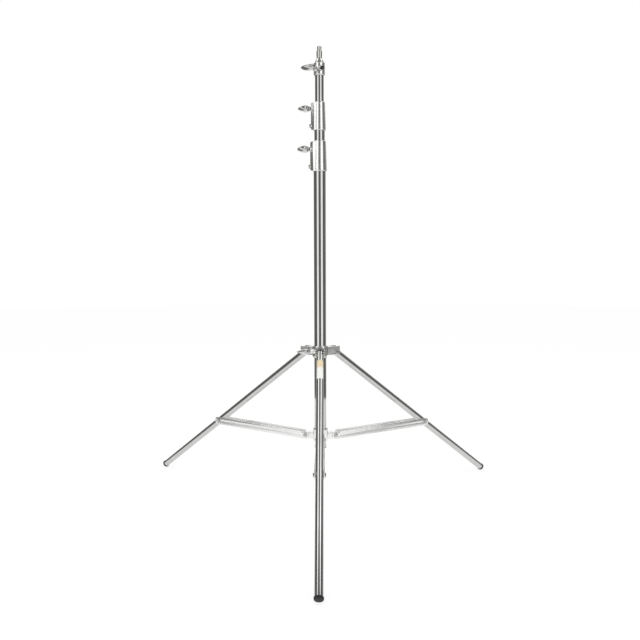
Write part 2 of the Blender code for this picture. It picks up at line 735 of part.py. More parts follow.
def add_riser_2(carrier):
    inside = RISER_2_RADIUS - RISER_2_WALL
    riser = tube(RISER_2_RADIUS, inside, 0, RISER_2_LENGTH, TUBE_STEPS)
    add_part("riser_2_tube", riser, CHROME, carrier)
    guide = riser_guide(RISER_2_RADIUS, inside, RISER_1_RADIUS - RISER_1_WALL)
    add_part("riser_2_guide", guide, NYLON, carrier)
    casting_bottom = TOP_CASTING_BOTTOM - RISER_2_BOTTOM_HEIGHT
    add_part("top_casting", top_casting(), POLISHED_ALLOY, carrier, (0, 0, casting_bottom))
    middle = casting_bottom + TOP_CASTING_HEIGHT / 2
    bolt_axis = add_empty("top_set_bolt_axis", carrier, (0, 0, middle), (0, 0, TOP_BOLT_AZIMUTH))
    bolt = hexagon_bolt(
        SET_BOLT_RADIUS, TOP_BOLT_REACH - STUD_RADIUS, SET_BOLT_HEAD_RADIUS, SET_BOLT_HEAD
    )
    add_part("top_set_bolt", bolt, BLACK_STEEL, bolt_axis, (TOP_BOLT_REACH + GAP, 0, 0))
    finishes = (ZINC_STEEL, None, PLATED_ZINC)
    add_clamp("top", TOP_BOSS_REACH, STUD_RADIUS, TOP_HANDLE_AZIMUTH, carrier, middle, finishes)


def add_stud(carrier):
    """The 16 mm stud. Zero is the underside of its flange, on the top casting."""
    waist_top = STUD_BELL_LENGTH + STUD_WAIST_LENGTH
    body_top = waist_top + STUD_BODY_LENGTH
    groove_top = body_top + STUD_GROOVE_LENGTH
    tip_top = groove_top + STUD_TIP_LENGTH
    chamfer = STUD_CHAMFER
    tip = STUD_TIP_DIAMETER / 2
    groove = STUD_GROOVE_DIAMETER / 2
    waist = STUD_WAIST_DIAMETER / 2
    flange = STUD_FLANGE_DIAMETER / 2
    bell = []
    for i in range(CORNER_STEPS + 1):
        share = i / CORNER_STEPS
        radius = waist + (flange - waist) * share**STUD_BELL_CURVE
        bell.append((radius, STUD_BELL_LENGTH - (STUD_BELL_LENGTH - chamfer) * share))
    stud = turned(
        [
            (0, tip_top),
            (tip - chamfer, tip_top),
            (tip, tip_top - chamfer),
            (tip, groove_top),
            (groove, groove_top),
            (groove, body_top),
            (STUD_RADIUS - chamfer, body_top),
            (STUD_RADIUS, body_top - chamfer),
            (STUD_RADIUS, waist_top),
            (waist, waist_top - chamfer),
            *bell,
            (flange, GAP),
            (STUD_RADIUS, GAP),
            (STUD_RADIUS, chamfer - STUD_TENON_LENGTH),
            (STUD_RADIUS - chamfer, -STUD_TENON_LENGTH),
            (0, -STUD_TENON_LENGTH),
        ],
        CASTING_STEPS,
    )
    add_part("stud", stud, PLATED_STEEL, carrier)


# Legs, braces and the two collars that carry them


def leg_frame():
    """The leg's frame in its spoke's plane: X runs down the leg from its pivot."""
    pivot = Matrix.Translation((LEG_PIVOT_RADIUS, 0, LEG_PIVOT_HEIGHT))
    return pivot @ Matrix.Rotation(pi / 2 - LEG_SPREAD, 4, "Y")


def leg_tube_shape():
    body = tube(
        LEG_RADIUS,
        LEG_RADIUS - LEG_WALL,
        -LEG_TOP_BEYOND_PIVOT,
        LEG_LENGTH - PLUG_LENGTH - GAP,
        LEG_STEPS,
    )
    half = LEG_RADIUS + OVERRUN
    bush_hole = along_y(cylinder(LEG_BUSH_RADIUS + GAP, -half, half, SMALL_STEPS))
    sleeve_hole = along_y(cylinder(TIP_SLEEVE_RADIUS + GAP, -half, half, SMALL_STEPS))
    sleeve_hole = moved(sleeve_hole, Matrix.Translation((BRACE_PIVOT_ON_LEG, 0, 0)))
    return cut(along_x(body), bush_hole, sleeve_hole)


def foot_plug_shape():
    """A rubber plug in the leg's end. The floor cuts a small flat on its rounded edge."""
    spigot = LEG_RADIUS - LEG_WALL - GAP
    start = LEG_LENGTH - PLUG_LENGTH
    corner = (PLUG_CORNER, LEG_LENGTH - PLUG_ROUND)
    profile = [(0, LEG_LENGTH)]
    profile += arc(corner, PLUG_ROUND, PLUG_CROWN_EDGE, 0, CORNER_STEPS)
    profile += [(PLUG_RADIUS, start), (spigot, start), (spigot, start - PLUG_SPIGOT)]
    profile += [(0, start - PLUG_SPIGOT)]
    plug = along_x(turned(profile, LEG_STEPS))
    side = 2 * PLUG_RADIUS
    floor = box((0, -side, -side), (LEG_PIVOT_RADIUS + LEG_LENGTH, side, 0))
    return cut(plug, moved(floor, leg_frame().inverted()))


def label_shape():
    """A thin blank label wrapped on the side of the leg that faces up and out."""
    radius = LEG_RADIUS + GAP + LABEL_THICKNESS / 2
    mesh = bpy.data.meshes.new("label_edge")
    mesh.from_pydata([(radius, 0, LABEL_LENGTH), (radius, 0, 0)], [(0, 1)], [])
    mesh.transform(Matrix.Rotation(-LABEL_HALF_ANGLE, 4, "Z"))
    obj = loose_object(mesh)
    screw = obj.modifiers.new("wrap", "SCREW")
    screw.angle = 2 * LABEL_HALF_ANGLE
    screw.steps = LABEL_STEPS
    screw.render_steps = LABEL_STEPS
    screw.use_merge_vertices = False
    skin = obj.modifiers.new("thickness", "SOLIDIFY")
    skin.thickness = LABEL_THICKNESS
    skin.offset = 0
    # The wrap's middle is at +X; along the leg that direction must point up, at +Z.
    upwards = Matrix.Rotation(pi, 4, "Z")
    return along_x(moved(evaluated(obj), upwards), LABEL_START)


def sleeve_shape(radius, bore_radius, half_length):
    return along_y(tube(radius, bore_radius, -half_length, half_length, SMALL_STEPS))


def rivet_shape():
    half = BRACE_OUTSIDE + GAP
    end = half + RIVET_HEAD
    top = [(0, end), (RIVET_FACE_RADIUS, end), (RIVET_HEAD_RADIUS, half + RIVET_RIM)]
    top += [(RIVET_HEAD_RADIUS, half), (RIVET_RADIUS, half)]
    bottom = [(radius, -height) for radius, height in reversed(top)]
    return along_y(turned(top + bottom, SMALL_STEPS))


def brace_shape():
    """An upside-down channel from its fixed pivot at zero out to the leg."""
    half_width = BRACE_OUTSIDE - BRACE_WALL / 2
    half_height = BRACE_HEIGHT / 2
    back = half_height - BRACE_WALL / 2
    corner_y = half_width - BRACE_BACK_ROUND
    corner_z = back - BRACE_BACK_ROUND
    profile = [(-half_width, -half_height)]
    profile += arc((-corner_y, corner_z), BRACE_BACK_ROUND, pi, pi / 2, CORNER_STEPS)
    profile += arc((corner_y, corner_z), BRACE_BACK_ROUND, pi / 2, 0, CORNER_STEPS)
    profile += [(half_width, -half_height)]
    margin = BRACE_END_ROUND + OVERRUN
    bm = bmesh.new()
    line = [bm.verts.new((-margin, y, z)) for y, z in profile]
    edges = [bm.edges.new(pair) for pair in zip(line, line[1:])]
    drawn = bmesh.ops.extrude_edge_only(bm, edges=edges)["geom"]
    far_side = [item for item in drawn if isinstance(item, bmesh.types.BMVert)]
    bmesh.ops.translate(bm, vec=(BRACE_LENGTH + 2 * margin, 0, 0), verts=far_side)
    bmesh.ops.recalc_face_normals(bm, faces=bm.faces)
    sheet = loose_object(mesh_of(bm))
    skin = sheet.modifiers.new("thickness", "SOLIDIFY")
    skin.thickness = BRACE_WALL
    skin.offset = 0
    skin.use_even_offset = True
    channel = evaluated(sheet)
    # Both ends are rounded about their pivots, seen from the side.
    edge = BRACE_END_HALF_ANGLE
    clear = 2 * BRACE_HEIGHT
    shoulder = BRACE_END_ROUND * cos(edge)
    outline = [(BRACE_LENGTH + shoulder, -clear)]
    outline += arc((BRACE_LENGTH, 0), BRACE_END_ROUND, -edge, edge, END_STEPS)
    outline += [(BRACE_LENGTH + shoulder, clear), (-shoulder, clear)]
    outline += arc((0, 0), BRACE_END_ROUND, pi - edge, pi + edge, END_STEPS)
    outline += [(-shoulder, -clear)]
    ends = upright_plate(outline, 4 * BRACE_OUTSIDE)
    channel = combined(channel, "INTERSECT", [ends])
    side = 2 * BRACE_OUTSIDE
    slot_side = LEG_RADIUS + SLOT_SIDE_CLEARANCE
    over_lug = box(
        (-side, -side, half_height - BRACE_CORNER_DROP), (BRACE_BACK_START, side, side)
    )
    over_leg = box((BRACE_SLOT_START, -slot_side, 0), (BRACE_LENGTH + side, slot_side, side))
    fixed_hole = along_y(cylinder(RIVET_RADIUS + GAP, -side, side, SMALL_STEPS))
    tip_hole = along_y(cylinder(PIVOT_BOLT_RADIUS + GAP, -side, side, SMALL_STEPS))
    tip_hole = moved(tip_hole, Matrix.Translation((BRACE_LENGTH, 0, 0)))
    return cut(channel, over_lug, over_leg, fixed_hole, tip_hole)


def tip_bolt_shape():
    """Head and short shank of the brace's outer bolt, along X from the ear's inner face."""
    shank = cylinder(PIVOT_BOLT_RADIUS, GAP / 2, BRACE_WALL + TIP_HEAD / 2, SMALL_STEPS)
    start = BRACE_WALL + GAP
    head = cylinder(TIP_HEAD_RADIUS, start, start + TIP_HEAD, HEXAGON)
    return along_x(joined(head, shank))


def ring_blank(radius, height):
    """A solid drum with chamfered rims, before the column's bore goes through it."""
    profile = [
        (0, height),
        (radius - RING_CHAMFER, height),
        (radius, height - RING_CHAMFER),
        (radius, RING_CHAMFER),
        (radius - RING_CHAMFER, 0),
        (0, 0),
    ]
    return turned(profile, CASTING_STEPS)


def leg_collar_shape():
    """The sliding casting: a ring, three pairs of ears and the boss of its clamp."""
    ring = ring_blank(COLUMN_RADIUS + LEG_COLLAR_WALL, LEG_COLLAR_HEIGHT)
    pivot = (LEG_PIVOT_RADIUS, LEG_COLLAR_BELOW_PIVOT)
    ear_bottom = LEG_COLLAR_BELOW_PIVOT - EAR_NOSE
    ear_top = ear_bottom + EAR_HEIGHT
    ear_end = LEG_PIVOT_RADIUS + EAR_NOSE
    inner = COLUMN_RADIUS / 2
    outline = [(inner, ear_bottom)]
    outline += arc(pivot, EAR_NOSE, -pi / 2, 0, CORNER_STEPS)
    outline += [(ear_end, ear_top - EAR_CORNER), (ear_end - EAR_CORNER, ear_top)]
    outline += [(inner, ear_top)]
    joins = []
    cuts = [cylinder(COLUMN_RADIUS + GAP, -OVERRUN, LEG_COLLAR_HEIGHT + OVERRUN, TUBE_STEPS)]
    for index in range(len(LEG_NAMES)):
        azimuth = leg_azimuth(index)
        joins.append(about_z(upright_plate(outline, 2 * EAR_OUTSIDE), azimuth))
        slot = box(
            (EAR_ROOT_RADIUS, -EAR_INSIDE, -OVERRUN),
            (ear_end + OVERRUN, EAR_INSIDE, LEG_COLLAR_HEIGHT + OVERRUN),
        )
        cuts.append(about_z(slot, azimuth))
        half = EAR_OUTSIDE + OVERRUN
        hole = along_y(cylinder(PIVOT_BOLT_RADIUS + GAP, -half, half, SMALL_STEPS))
        hole = moved(hole, Matrix.Translation((pivot[0], 0, pivot[1])))
        cuts.append(about_z(hole, azimuth))
    up = Matrix.Translation((0, 0, LEG_COLLAR_HEIGHT / 2))
    boss = along_x(cylinder(CLAMP_BOSS_RADIUS, inner, LEG_BOSS_REACH, SMALL_STEPS))
    joins.append(about_z(moved(boss, up), LEG_HANDLE_AZIMUTH))
    passage = clamp_passage(COLUMN_RADIUS, LEG_BOSS_REACH)
    cuts.append(about_z(moved(passage, up), LEG_HANDLE_AZIMUTH))
    return cut(joined(ring, *joins), *cuts)


def base_collar_shape():
    """The fixed casting: a ring with three lugs that the braces straddle."""
    outer = COLUMN_RADIUS + BASE_COLLAR_WALL
    ring = ring_blank(outer, BASE_COLLAR_HEIGHT)
    inner = COLUMN_RADIUS / 2
    pivot = (BRACE_PIVOT_RADIUS, BASE_COLLAR_BELOW_PIVOT)
    outline = [(inner, pivot[1] - LUG_NOSE)]
    outline += arc(pivot, LUG_NOSE, -pi / 2, pi / 2, END_STEPS)
    outline += [(inner, pivot[1] + LUG_NOSE)]
    joins = []
    cuts = [cylinder(COLUMN_RADIUS + GAP, -OVERRUN, BASE_COLLAR_HEIGHT + OVERRUN, TUBE_STEPS)]
    half = BRACE_INSIDE - GAP
    for index in range(len(LEG_NAMES)):
        azimuth = leg_azimuth(index)
        joins.append(about_z(upright_plate(outline, 2 * half), azimuth))
        hole = along_y(cylinder(RIVET_RADIUS + GAP, -half - OVERRUN, half + OVERRUN, SMALL_STEPS))
        hole = moved(hole, Matrix.Translation((pivot[0], 0, pivot[1])))
        cuts.append(about_z(hole, azimuth))
    bolt_hole = along_x(cylinder(SET_BOLT_RADIUS + GAP, inner, outer + OVERRUN, SMALL_STEPS))
    bolt_hole = moved(bolt_hole, Matrix.Translation((0, 0, BASE_COLLAR_HEIGHT / 2)))
    cuts.append(about_z(bolt_hole, BASE_BOLT_AZIMUTH))
    return cut(joined(ring, *joins), *cuts)


def leg_azimuth(index):
    return FRONT_LEG_AZIMUTH + 2 * pi * index / len(LEG_NAMES)


def add_leg_collar(carrier):
    """The sliding collar and its pivot bolts. The carrier sits at the height of the pivots."""
    drop = -LEG_COLLAR_BELOW_PIVOT
    add_part("leg_collar", leg_collar_shape(), POLISHED_ALLOY, carrier, (0, 0, drop))
    clamp_height = drop + LEG_COLLAR_HEIGHT / 2
    add_clamp(
        "leg_collar",
        LEG_BOSS_REACH,
        COLUMN_RADIUS,
        LEG_HANDLE_AZIMUTH,
        carrier,
        clamp_height,
        (ZINC_STEEL, NYLON, PLATED_ZINC),
    )
    shank = 2 * EAR_OUTSIDE + 2 * GAP + PIVOT_NUT + PIVOT_BOLT_END
    bolt = hexagon_bolt(PIVOT_BOLT_RADIUS, shank, PIVOT_HEAD_RADIUS, PIVOT_HEAD)
    nut = hexagon_nut(PIVOT_BOLT_RADIUS + GAP, PIVOT_HEAD_RADIUS, PIVOT_NUT)
    for index, name in enumerate(LEG_NAMES):
        spoke = add_empty(name + "_leg_bolt_spoke", carrier, rotation=(0, 0, leg_azimuth(index)))
        head_place = (LEG_PIVOT_RADIUS, EAR_OUTSIDE + GAP, 0)
        nut_place = (LEG_PIVOT_RADIUS, -EAR_OUTSIDE - GAP, 0)
        add_part(name + "_leg_pivot_bolt", bolt, ZINC_STEEL, spoke, head_place, (0, 0, pi / 2))
        add_part(name + "_leg_pivot_nut", nut, ZINC_STEEL, spoke, nut_place, (0, 0, -pi / 2))


def add_legs(stand):
    tube_mesh = leg_tube_shape()
    plug_mesh = foot_plug_shape()
    bush_mesh = sleeve_shape(LEG_BUSH_RADIUS, PIVOT_BOLT_RADIUS + GAP, EAR_INSIDE - GAP)
    # The sleeve clears the slot in the brace's back as the stand folds.
    sleeve_half = LEG_RADIUS + SLOT_SIDE_CLEARANCE - GAP
    sleeve_mesh = sleeve_shape(TIP_SLEEVE_RADIUS, PIVOT_BOLT_RADIUS + GAP, sleeve_half)
    for index, name in enumerate(LEG_NAMES):
        spoke = add_empty(name + "_leg_spoke", stand, rotation=(0, 0, leg_azimuth(index)))
        place = (LEG_PIVOT_RADIUS, 0, LEG_PIVOT_HEIGHT)
        pivot = add_empty(name + "_leg_pivot", spoke, place, (0, pi / 2 - LEG_SPREAD, 0))
        add_part(name + "_leg_tube", tube_mesh, CHROME, pivot)
        add_part(name + "_foot_plug", plug_mesh, BLACK_RUBBER, pivot)
        add_part(name + "_leg_bush", bush_mesh, NYLON, pivot)
        sleeve_place = (BRACE_PIVOT_ON_LEG, 0, 0)
        add_part(name + "_brace_sleeve", sleeve_mesh, ZINC_STEEL, pivot, sleeve_place)
        if index == 0:
            add_part("leg_label", label_shape(), LABEL_WHITE, pivot)


def add_braces(stand):
    channel = brace_shape()
    rivet = rivet_shape()
    tip_bolt = tip_bolt_shape()
    for index, name in enumerate(LEG_NAMES):
        spoke = add_empty(name + "_brace_spoke", stand, rotation=(0, 0, leg_azimuth(index)))
        place = (BRACE_PIVOT_RADIUS, 0, BRACE_PIVOT_HEIGHT)
        add_part(name + "_brace_rivet", rivet, ZINC_STEEL, spoke, place)
        pivot = add_empty(name + "_brace_pivot", spoke, place, (0, -BRACE_RISE, 0))
        add_part(name + "_brace", channel, PLATED_CHANNEL, pivot)
        for side, turn in (("near", -pi / 2), ("far", pi / 2)):
            ear = (BRACE_LENGTH, BRACE_INSIDE * (1 if turn > 0 else -1), 0)
            add_part(f"{name}_tip_bolt_{side}", tip_bolt, ZINC_STEEL, pivot, ear, (0, 0, turn))


def add_base_collar(stand):
    place = (0, 0, BASE_COLLAR_BOTTOM)
    add_part("base_collar", base_collar_shape(), POLISHED_ALLOY, stand, place)
    outer = COLUMN_RADIUS + BASE_COLLAR_WALL
    height = BASE_COLLAR_BOTTOM + BASE_COLLAR_HEIGHT / 2
    axis = add_empty("base_set_bolt_axis", stand, (0, 0, height), (0, 0, BASE_BOLT_AZIMUTH))
    bolt = hexagon_bolt(
        SET_BOLT_RADIUS, outer - COLUMN_RADIUS, SET_BOLT_HEAD_RADIUS, SET_BOLT_HEAD
    )
    add_part("base_set_bolt", bolt, ZINC_STEEL, axis, (outer + GAP, 0, 0))


def centre_footprint(stand):
    """Moves the stand so that the middle of its outline lies over the origin."""
    bpy.context.view_layer.update()
    depths = []
    for obj in STAND_PARTS.objects:
        if obj.type == "MESH":
            depths += [(obj.matrix_world @ vertex.co).y for vertex in obj.data.vertices]
    stand.location.y = -(min(depths) + max(depths)) / 2


clear_scene()
STAND_PARTS = bpy.data.collections.new("light_stand")
bpy.context.scene.collection.children.link(STAND_PARTS)

CHROME = new_finish("chrome_plated_tube", (0.80, 0.80, 0.79), 0.08, 1.0)
POLISHED_ALLOY = new_finish("polished_cast_alloy", (0.86, 0.86, 0.85), 0.22, 1.0)
PLATED_ZINC = new_finish("plated_wing_handle", (0.80, 0.80, 0.80), 0.18, 1.0)
PLATED_STEEL = new_finish("plated_stud", (0.78, 0.78, 0.77), 0.20, 1.0)
PLATED_CHANNEL = new_finish("plated_channel", (0.84, 0.84, 0.83), 0.30, 1.0)
ZINC_STEEL = new_finish("zinc_plated_fastener", (0.66, 0.66, 0.65), 0.30, 1.0)
BLACK_STEEL = new_finish("black_oxide_fastener", (0.05, 0.05, 0.05), 0.35, 1.0)
NYLON = new_finish("natural_nylon", (0.78, 0.76, 0.70), 0.45, 0.0)
BLACK_PLASTIC = new_finish("black_plastic", (0.02, 0.02, 0.02), 0.45, 0.0)
BLACK_RUBBER = new_finish("black_rubber", (0.02, 0.02, 0.022), 0.60, 0.0)
LABEL_WHITE = new_finish("blank_label", (0.90, 0.90, 0.88), 0.40, 0.0)

WING_HANDLE = wing_handle()
stand_root = add_empty("stand", None)
add_column(stand_root)
add_base_collar(stand_root)
add_braces(stand_root)
add_legs(stand_root)
add_leg_collar(add_empty("leg_collar_slide", stand_root, (0, 0, LEG_PIVOT_HEIGHT)))
add_riser_1(add_empty("riser_1_slide", stand_root, (0, 0, RISER_1_BOTTOM_HEIGHT)))
add_riser_2(add_empty("riser_2_slide", stand_root, (0, 0, RISER_2_BOTTOM_HEIGHT)))
add_stud(add_empty("stud_slide", stand_root, (0, 0, TOP_CASTING_TOP)))
centre_footprint(stand_root)

print(f"Folding, the leg collar slides up {FOLD_TRAVEL * 1000:.2f} mm.")
print(f"The legs turn in {degrees(LEG_SPREAD):.3f} degrees.")
print(f"The braces turn up {degrees(FOLDED_BRACE_ANGLE - BRACE_RISE):.3f} degrees.")
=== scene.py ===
"""Looks of a folding steel light stand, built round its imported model.

The stand is chrome-plated tube with polished castings, folded channel braces and plated wing
handles. Metres, +Z up, the front leg along -Y, as in the frame. Each finished piece stands in
for one node of the frame, rides on that node's body and takes its material slot.
"""

import json
from math import cos, pi, radians, sin, tan

import bmesh
import bpy
from mathutils import Matrix, Vector

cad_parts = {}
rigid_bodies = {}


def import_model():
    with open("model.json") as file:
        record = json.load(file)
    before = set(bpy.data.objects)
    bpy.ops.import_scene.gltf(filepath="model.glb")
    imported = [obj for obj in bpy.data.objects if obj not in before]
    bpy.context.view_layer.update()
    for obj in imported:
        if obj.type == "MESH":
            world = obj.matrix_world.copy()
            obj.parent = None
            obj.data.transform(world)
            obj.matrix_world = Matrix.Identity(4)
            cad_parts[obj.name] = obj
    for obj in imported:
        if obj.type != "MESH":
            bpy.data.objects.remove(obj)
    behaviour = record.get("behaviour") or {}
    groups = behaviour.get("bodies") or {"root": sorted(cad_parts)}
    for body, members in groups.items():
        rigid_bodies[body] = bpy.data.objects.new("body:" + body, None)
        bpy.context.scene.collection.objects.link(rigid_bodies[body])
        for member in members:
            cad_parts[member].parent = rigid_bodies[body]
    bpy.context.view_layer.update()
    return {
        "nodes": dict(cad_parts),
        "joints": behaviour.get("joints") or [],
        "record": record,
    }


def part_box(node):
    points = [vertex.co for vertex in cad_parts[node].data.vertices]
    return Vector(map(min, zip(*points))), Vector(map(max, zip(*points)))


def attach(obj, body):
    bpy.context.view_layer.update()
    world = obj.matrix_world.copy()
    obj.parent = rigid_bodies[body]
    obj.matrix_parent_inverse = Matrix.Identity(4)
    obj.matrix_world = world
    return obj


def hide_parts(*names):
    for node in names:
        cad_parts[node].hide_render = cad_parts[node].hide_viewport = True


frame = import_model()

# Running gap between pieces, and how far a cutting shape runs past what it cuts
GAP = 0.0003
OVERRUN = 0.004
# Points closer than this are one point.
MERGE_DISTANCE = 0.000002

# Column and risers
COLUMN_RADIUS = 0.0175
COLUMN_WALL = 0.0015
RISER_1_RADIUS = 0.0150
RISER_2_RADIUS = 0.0125
RISER_WALL = 0.0012
TUBE_EDGE = 0.0003
END_PLUG_FLANGE = 0.0030
END_PLUG_SPIGOT = 0.0180
END_PLUG_BORE_RADIUS = 0.0050

# Clamp collars
COLLAR_SEAT_DEPTH = 0.0370
COLLAR_WALL = 0.0031
COLLAR_TOP_WALL = 0.0032
COLLAR_CHAMFER = 0.0022
# The rib leaves the sleeve on two tangents, then narrows to its face.
RIB_REACH = 0.0095
RIB_FACE_WIDTH = 0.0100
RIB_FACE_DEPTH = 0.0085
RIB_TANGENT = radians(26)
RIB_EMBED = 0.0002
RIB_END_SETBACK = 0.0012
RIB_END_CHAMFER = 0.0040
RIB_ROUND = 0.0010
SET_BOLT_ABOVE_BOTTOM = 0.0135

# Clamp screws, their shoes and their wing handles
CLAMP_SCREW_RADIUS = 0.0040
CLAMP_SCREW_FLANGE_RADIUS = 0.0058
CLAMP_SCREW_FLANGE = 0.0015
CLAMP_SCREW_IN_HANDLE = 0.0120
CLAMP_THREAD_PITCH = 0.00125
THREAD_DEPTH = 0.00045
# Where a thread's crest ends and its root starts, as shares of the pitch
THREAD_CREST_END = 0.2
THREAD_ROOT_START = 0.6
CLAMP_BOSS_RADIUS = 0.0072
SHOE_RADIUS = 0.0055
SHOE_THICKNESS = 0.0022
SHOE_EDGE = 0.0004
HANDLE_LENGTH = 0.0350
HANDLE_SPAN = 0.0480
HANDLE_THICKNESS = 0.0175
HANDLE_HUB_RADIUS = 0.0070
HANDLE_HUB_TIP_RADIUS = 0.0053
HANDLE_HUB_LENGTH = 0.0175
# How far each handle is turned from level, its front wing up
HANDLE_TURN = {
    "column": radians(6),
    "riser_1": radians(1),
    "top": radians(-1),
    "leg_collar": radians(8),
}
HANDLE_ROUNDING = 4
HANDLE_GRAIN = 0.0004
# The handle's cage lies outside its rounded body: its start and end, half span and half
# thickness, as shares of the handle's length, span and thickness, and its thinner outer side
CAGE_START = 0.03
CAGE_END = 1.11
CAGE_HALF_SPAN = 0.18
CAGE_HALF_THICKNESS = 0.82
CAGE_OUTER_SHARE = 0.10
# Each wing leaves the cage in two steps: how far across the span, how far along the length,
# and the shares of length and thickness that each step leaves
WING_STEPS = ((0.35, 0.58, 0.74, 0.80), (0.51, 0.62, 0.62, 0.62))

# Hexagon bolts and nuts: shares of the radius that the turned-off corners leave flat, clear
# and drop
HEXAGON = 6
HEXAGON_FLAT = 0.84
HEXAGON_CLEAR = 1.1
HEXAGON_DROP = 0.16
SET_BOLT_RADIUS = 0.0030
SET_BOLT_HEAD_RADIUS = 0.0060
SET_BOLT_HEAD = 0.0045
PIVOT_BOLT_RADIUS = 0.0030
PIVOT_HEAD_RADIUS = 0.0058
PIVOT_HEAD = 0.0040
PIVOT_NUT = 0.0050
PIVOT_BOLT_END = 0.0015
TIP_HEAD_RADIUS = 0.0060
TIP_HEAD = 0.0028
BOLT_PITCH = 0.0010

# Top casting and stud
TOP_CASTING_RADIUS = 0.0160
TOP_CASTING_CHAMFER = 0.0020
TOP_CASTING_HEIGHT = 0.0360
TOP_CASTING_SPIGOT = 0.0250
TOP_BOSS_REACH = 0.0215
TOP_BOLT_AZIMUTH = radians(295)
TOP_BOLT_REACH = 0.0170
STUD_RADIUS = 0.0080
STUD_TIP_RADIUS = 0.0064
STUD_TIP_LENGTH = 0.0095
STUD_GROOVE_RADIUS = 0.0054
STUD_GROOVE_LENGTH = 0.0030
STUD_WAIST_RADIUS = 0.0074
STUD_WAIST_LENGTH = 0.0030
STUD_BODY_LENGTH = 0.0155
STUD_BELL_LENGTH = 0.0140
STUD_BELL_CURVE = 1.5
STUD_FLANGE_RADIUS = 0.0135
STUD_TENON_LENGTH = 0.0400
STUD_CHAMFER = 0.0010

# Legs and their foot plugs
LEGS = ("front", "right", "left")
LEG_WALL = 0.0015
LEG_TOP_BEYOND_PIVOT = 0.0090
LEG_LENGTH = 0.7240
LEG_BUSH_RADIUS = 0.0050
BRACE_PIVOT_ON_LEG = 0.4095
TIP_SLEEVE_RADIUS = 0.0060
PLUG_LENGTH = 0.0070
PLUG_ROUND = 0.0035
PLUG_CROWN_EDGE = radians(80)
PLUG_SPIGOT = 0.0180
PLUG_GROOVE = 0.0004

# Blank label on the front leg
LABEL_START = 0.0260
LABEL_LENGTH = 0.0720
LABEL_THICKNESS = 0.0004
LABEL_HALF_ANGLE = radians(56)
LABEL_CORNER = 0.0040
LABEL_PATCH_SHARE = 0.40
LABEL_AROUND = 24
LABEL_LENGTHWISE = 36

# Leg collar and base collar
RING_CHAMFER = 0.0015
LEG_COLLAR_WALL = 0.0042
LEG_COLLAR_BELOW_PIVOT = 0.0074
EAR_THICKNESS = 0.0040
EAR_SIDE_GAP = 0.0005
EAR_HEIGHT = 0.0260
EAR_NOSE = 0.0064
EAR_CORNER = 0.0020
EAR_ROOT_RADIUS = 0.0360
LEG_BOSS_REACH = 0.0350
BASE_COLLAR_WALL = 0.0040
BASE_COLLAR_BELOW_PIVOT = 0.0175
BASE_BOLT_AZIMUTH = radians(90)
LUG_NOSE = 0.0095

# Channel braces and their rivets
BRACE_RISE = radians(0.5)
BRACE_HEIGHT = 0.0240
BRACE_WALL = 0.0014
BRACE_BACK_ROUND = 0.0053
BRACE_END_ROUND = 0.0123
BRACE_END_HALF_ANGLE = radians(74)
BRACE_BACK_START = 0.0130
BRACE_CORNER_DROP = 0.0065
BRACE_SLOT_START = 0.2200
SLOT_SIDE_CLEARANCE = 0.0006
BRACE_EDGE = 0.00035
RIVET_RADIUS = 0.0035
RIVET_HEAD_RADIUS = 0.0062
RIVET_HEAD = 0.0028
RIVET_HEAD_STEPS = 7

# Facets of a full turn, and of small corners
TUBE_STEPS = 128
CASTING_STEPS = 96
SMALL_STEPS = 40
CORNER_STEPS = 8
SHARP_ANGLE = radians(38)
BEVEL_ANGLE = radians(30)
CAST_GRAIN = 0.0006
CAST_SMOOTHING = 8

# Range of a noise that is spread out, and a noise that runs the same way along each axis
NOISE_LOW = 0.3
NOISE_HIGH = 0.7
EVEN = (1.0, 1.0, 1.0)

# Stage: panels round the stand and over it, floor, lamps and how white the backdrop is
PANEL_REACH = 3.0
PANEL_OVERLAP = 0.1
CEILING = 4.0
MIDDLE_REACH = 1.5
FLOOR_FLAG_HEIGHT = 0.002
WALL_STEPS = 24
LEVEL_STEPS = 48
FLOOR_RADIUS = 9.0
FLOOR_GLOW = 1.03
FLOOR_GLOW_SHARE = 0.8
BACKDROP_LIGHT = 0.85
LAMP_POWER = 14
LAMP_AIM = 0.6

# Camera: fitted to the stand in the photograph
CAMERA_LENS = 38.814
CAMERA_SHIFT = 0.0522
CAMERA_DISTANCE = 2.0228
CAMERA_HEIGHT = 0.7258
CAMERA_ORBIT = radians(0.429)
CAMERA_HEADING = radians(3.224)
CAMERA_PITCH = radians(5.18)
CAMERA_ROLL = radians(-0.439)

RECORD = frame["record"]
BODY_OF = {
    node: body for body, nodes in RECORD["behaviour"]["bodies"].items() for node in nodes
}
SLOT_OF = {row["node"]: row["material_slot"] for row in RECORD["subparts"]}
JOINTS = {joint["name"]: joint for joint in frame["joints"]}
COLUMN_LOW, COLUMN_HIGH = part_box("column_tube")
AXIS = Vector(((COLUMN_LOW.x + COLUMN_HIGH.x) / 2, (COLUMN_LOW.y + COLUMN_HIGH.y) / 2, 0))
LEG_SPREAD = radians(JOINTS["front_leg_turn"]["range_deg"][1])


def half_width(node):
    low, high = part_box(node)
    return (high.x - low.x) / 2


LEG_RADIUS = half_width("front_leg_tube")
PLUG_RADIUS = half_width("front_foot_plug")
BRACE_OUTSIDE = half_width("front_brace")
EAR_INSIDE = LEG_RADIUS + EAR_SIDE_GAP
EAR_OUTSIDE = EAR_INSIDE + EAR_THICKNESS
BRACE_INSIDE = BRACE_OUTSIDE - BRACE_WALL
BRACE_LENGTH = (
    JOINTS["front_leg_turn"]["pos_m"][1] * -1
    + BRACE_PIVOT_ON_LEG * sin(LEG_SPREAD)
    + JOINTS["front_brace_turn"]["pos_m"][1]
) / cos(BRACE_RISE)


# Shapes are meshes in their piece's own frame.


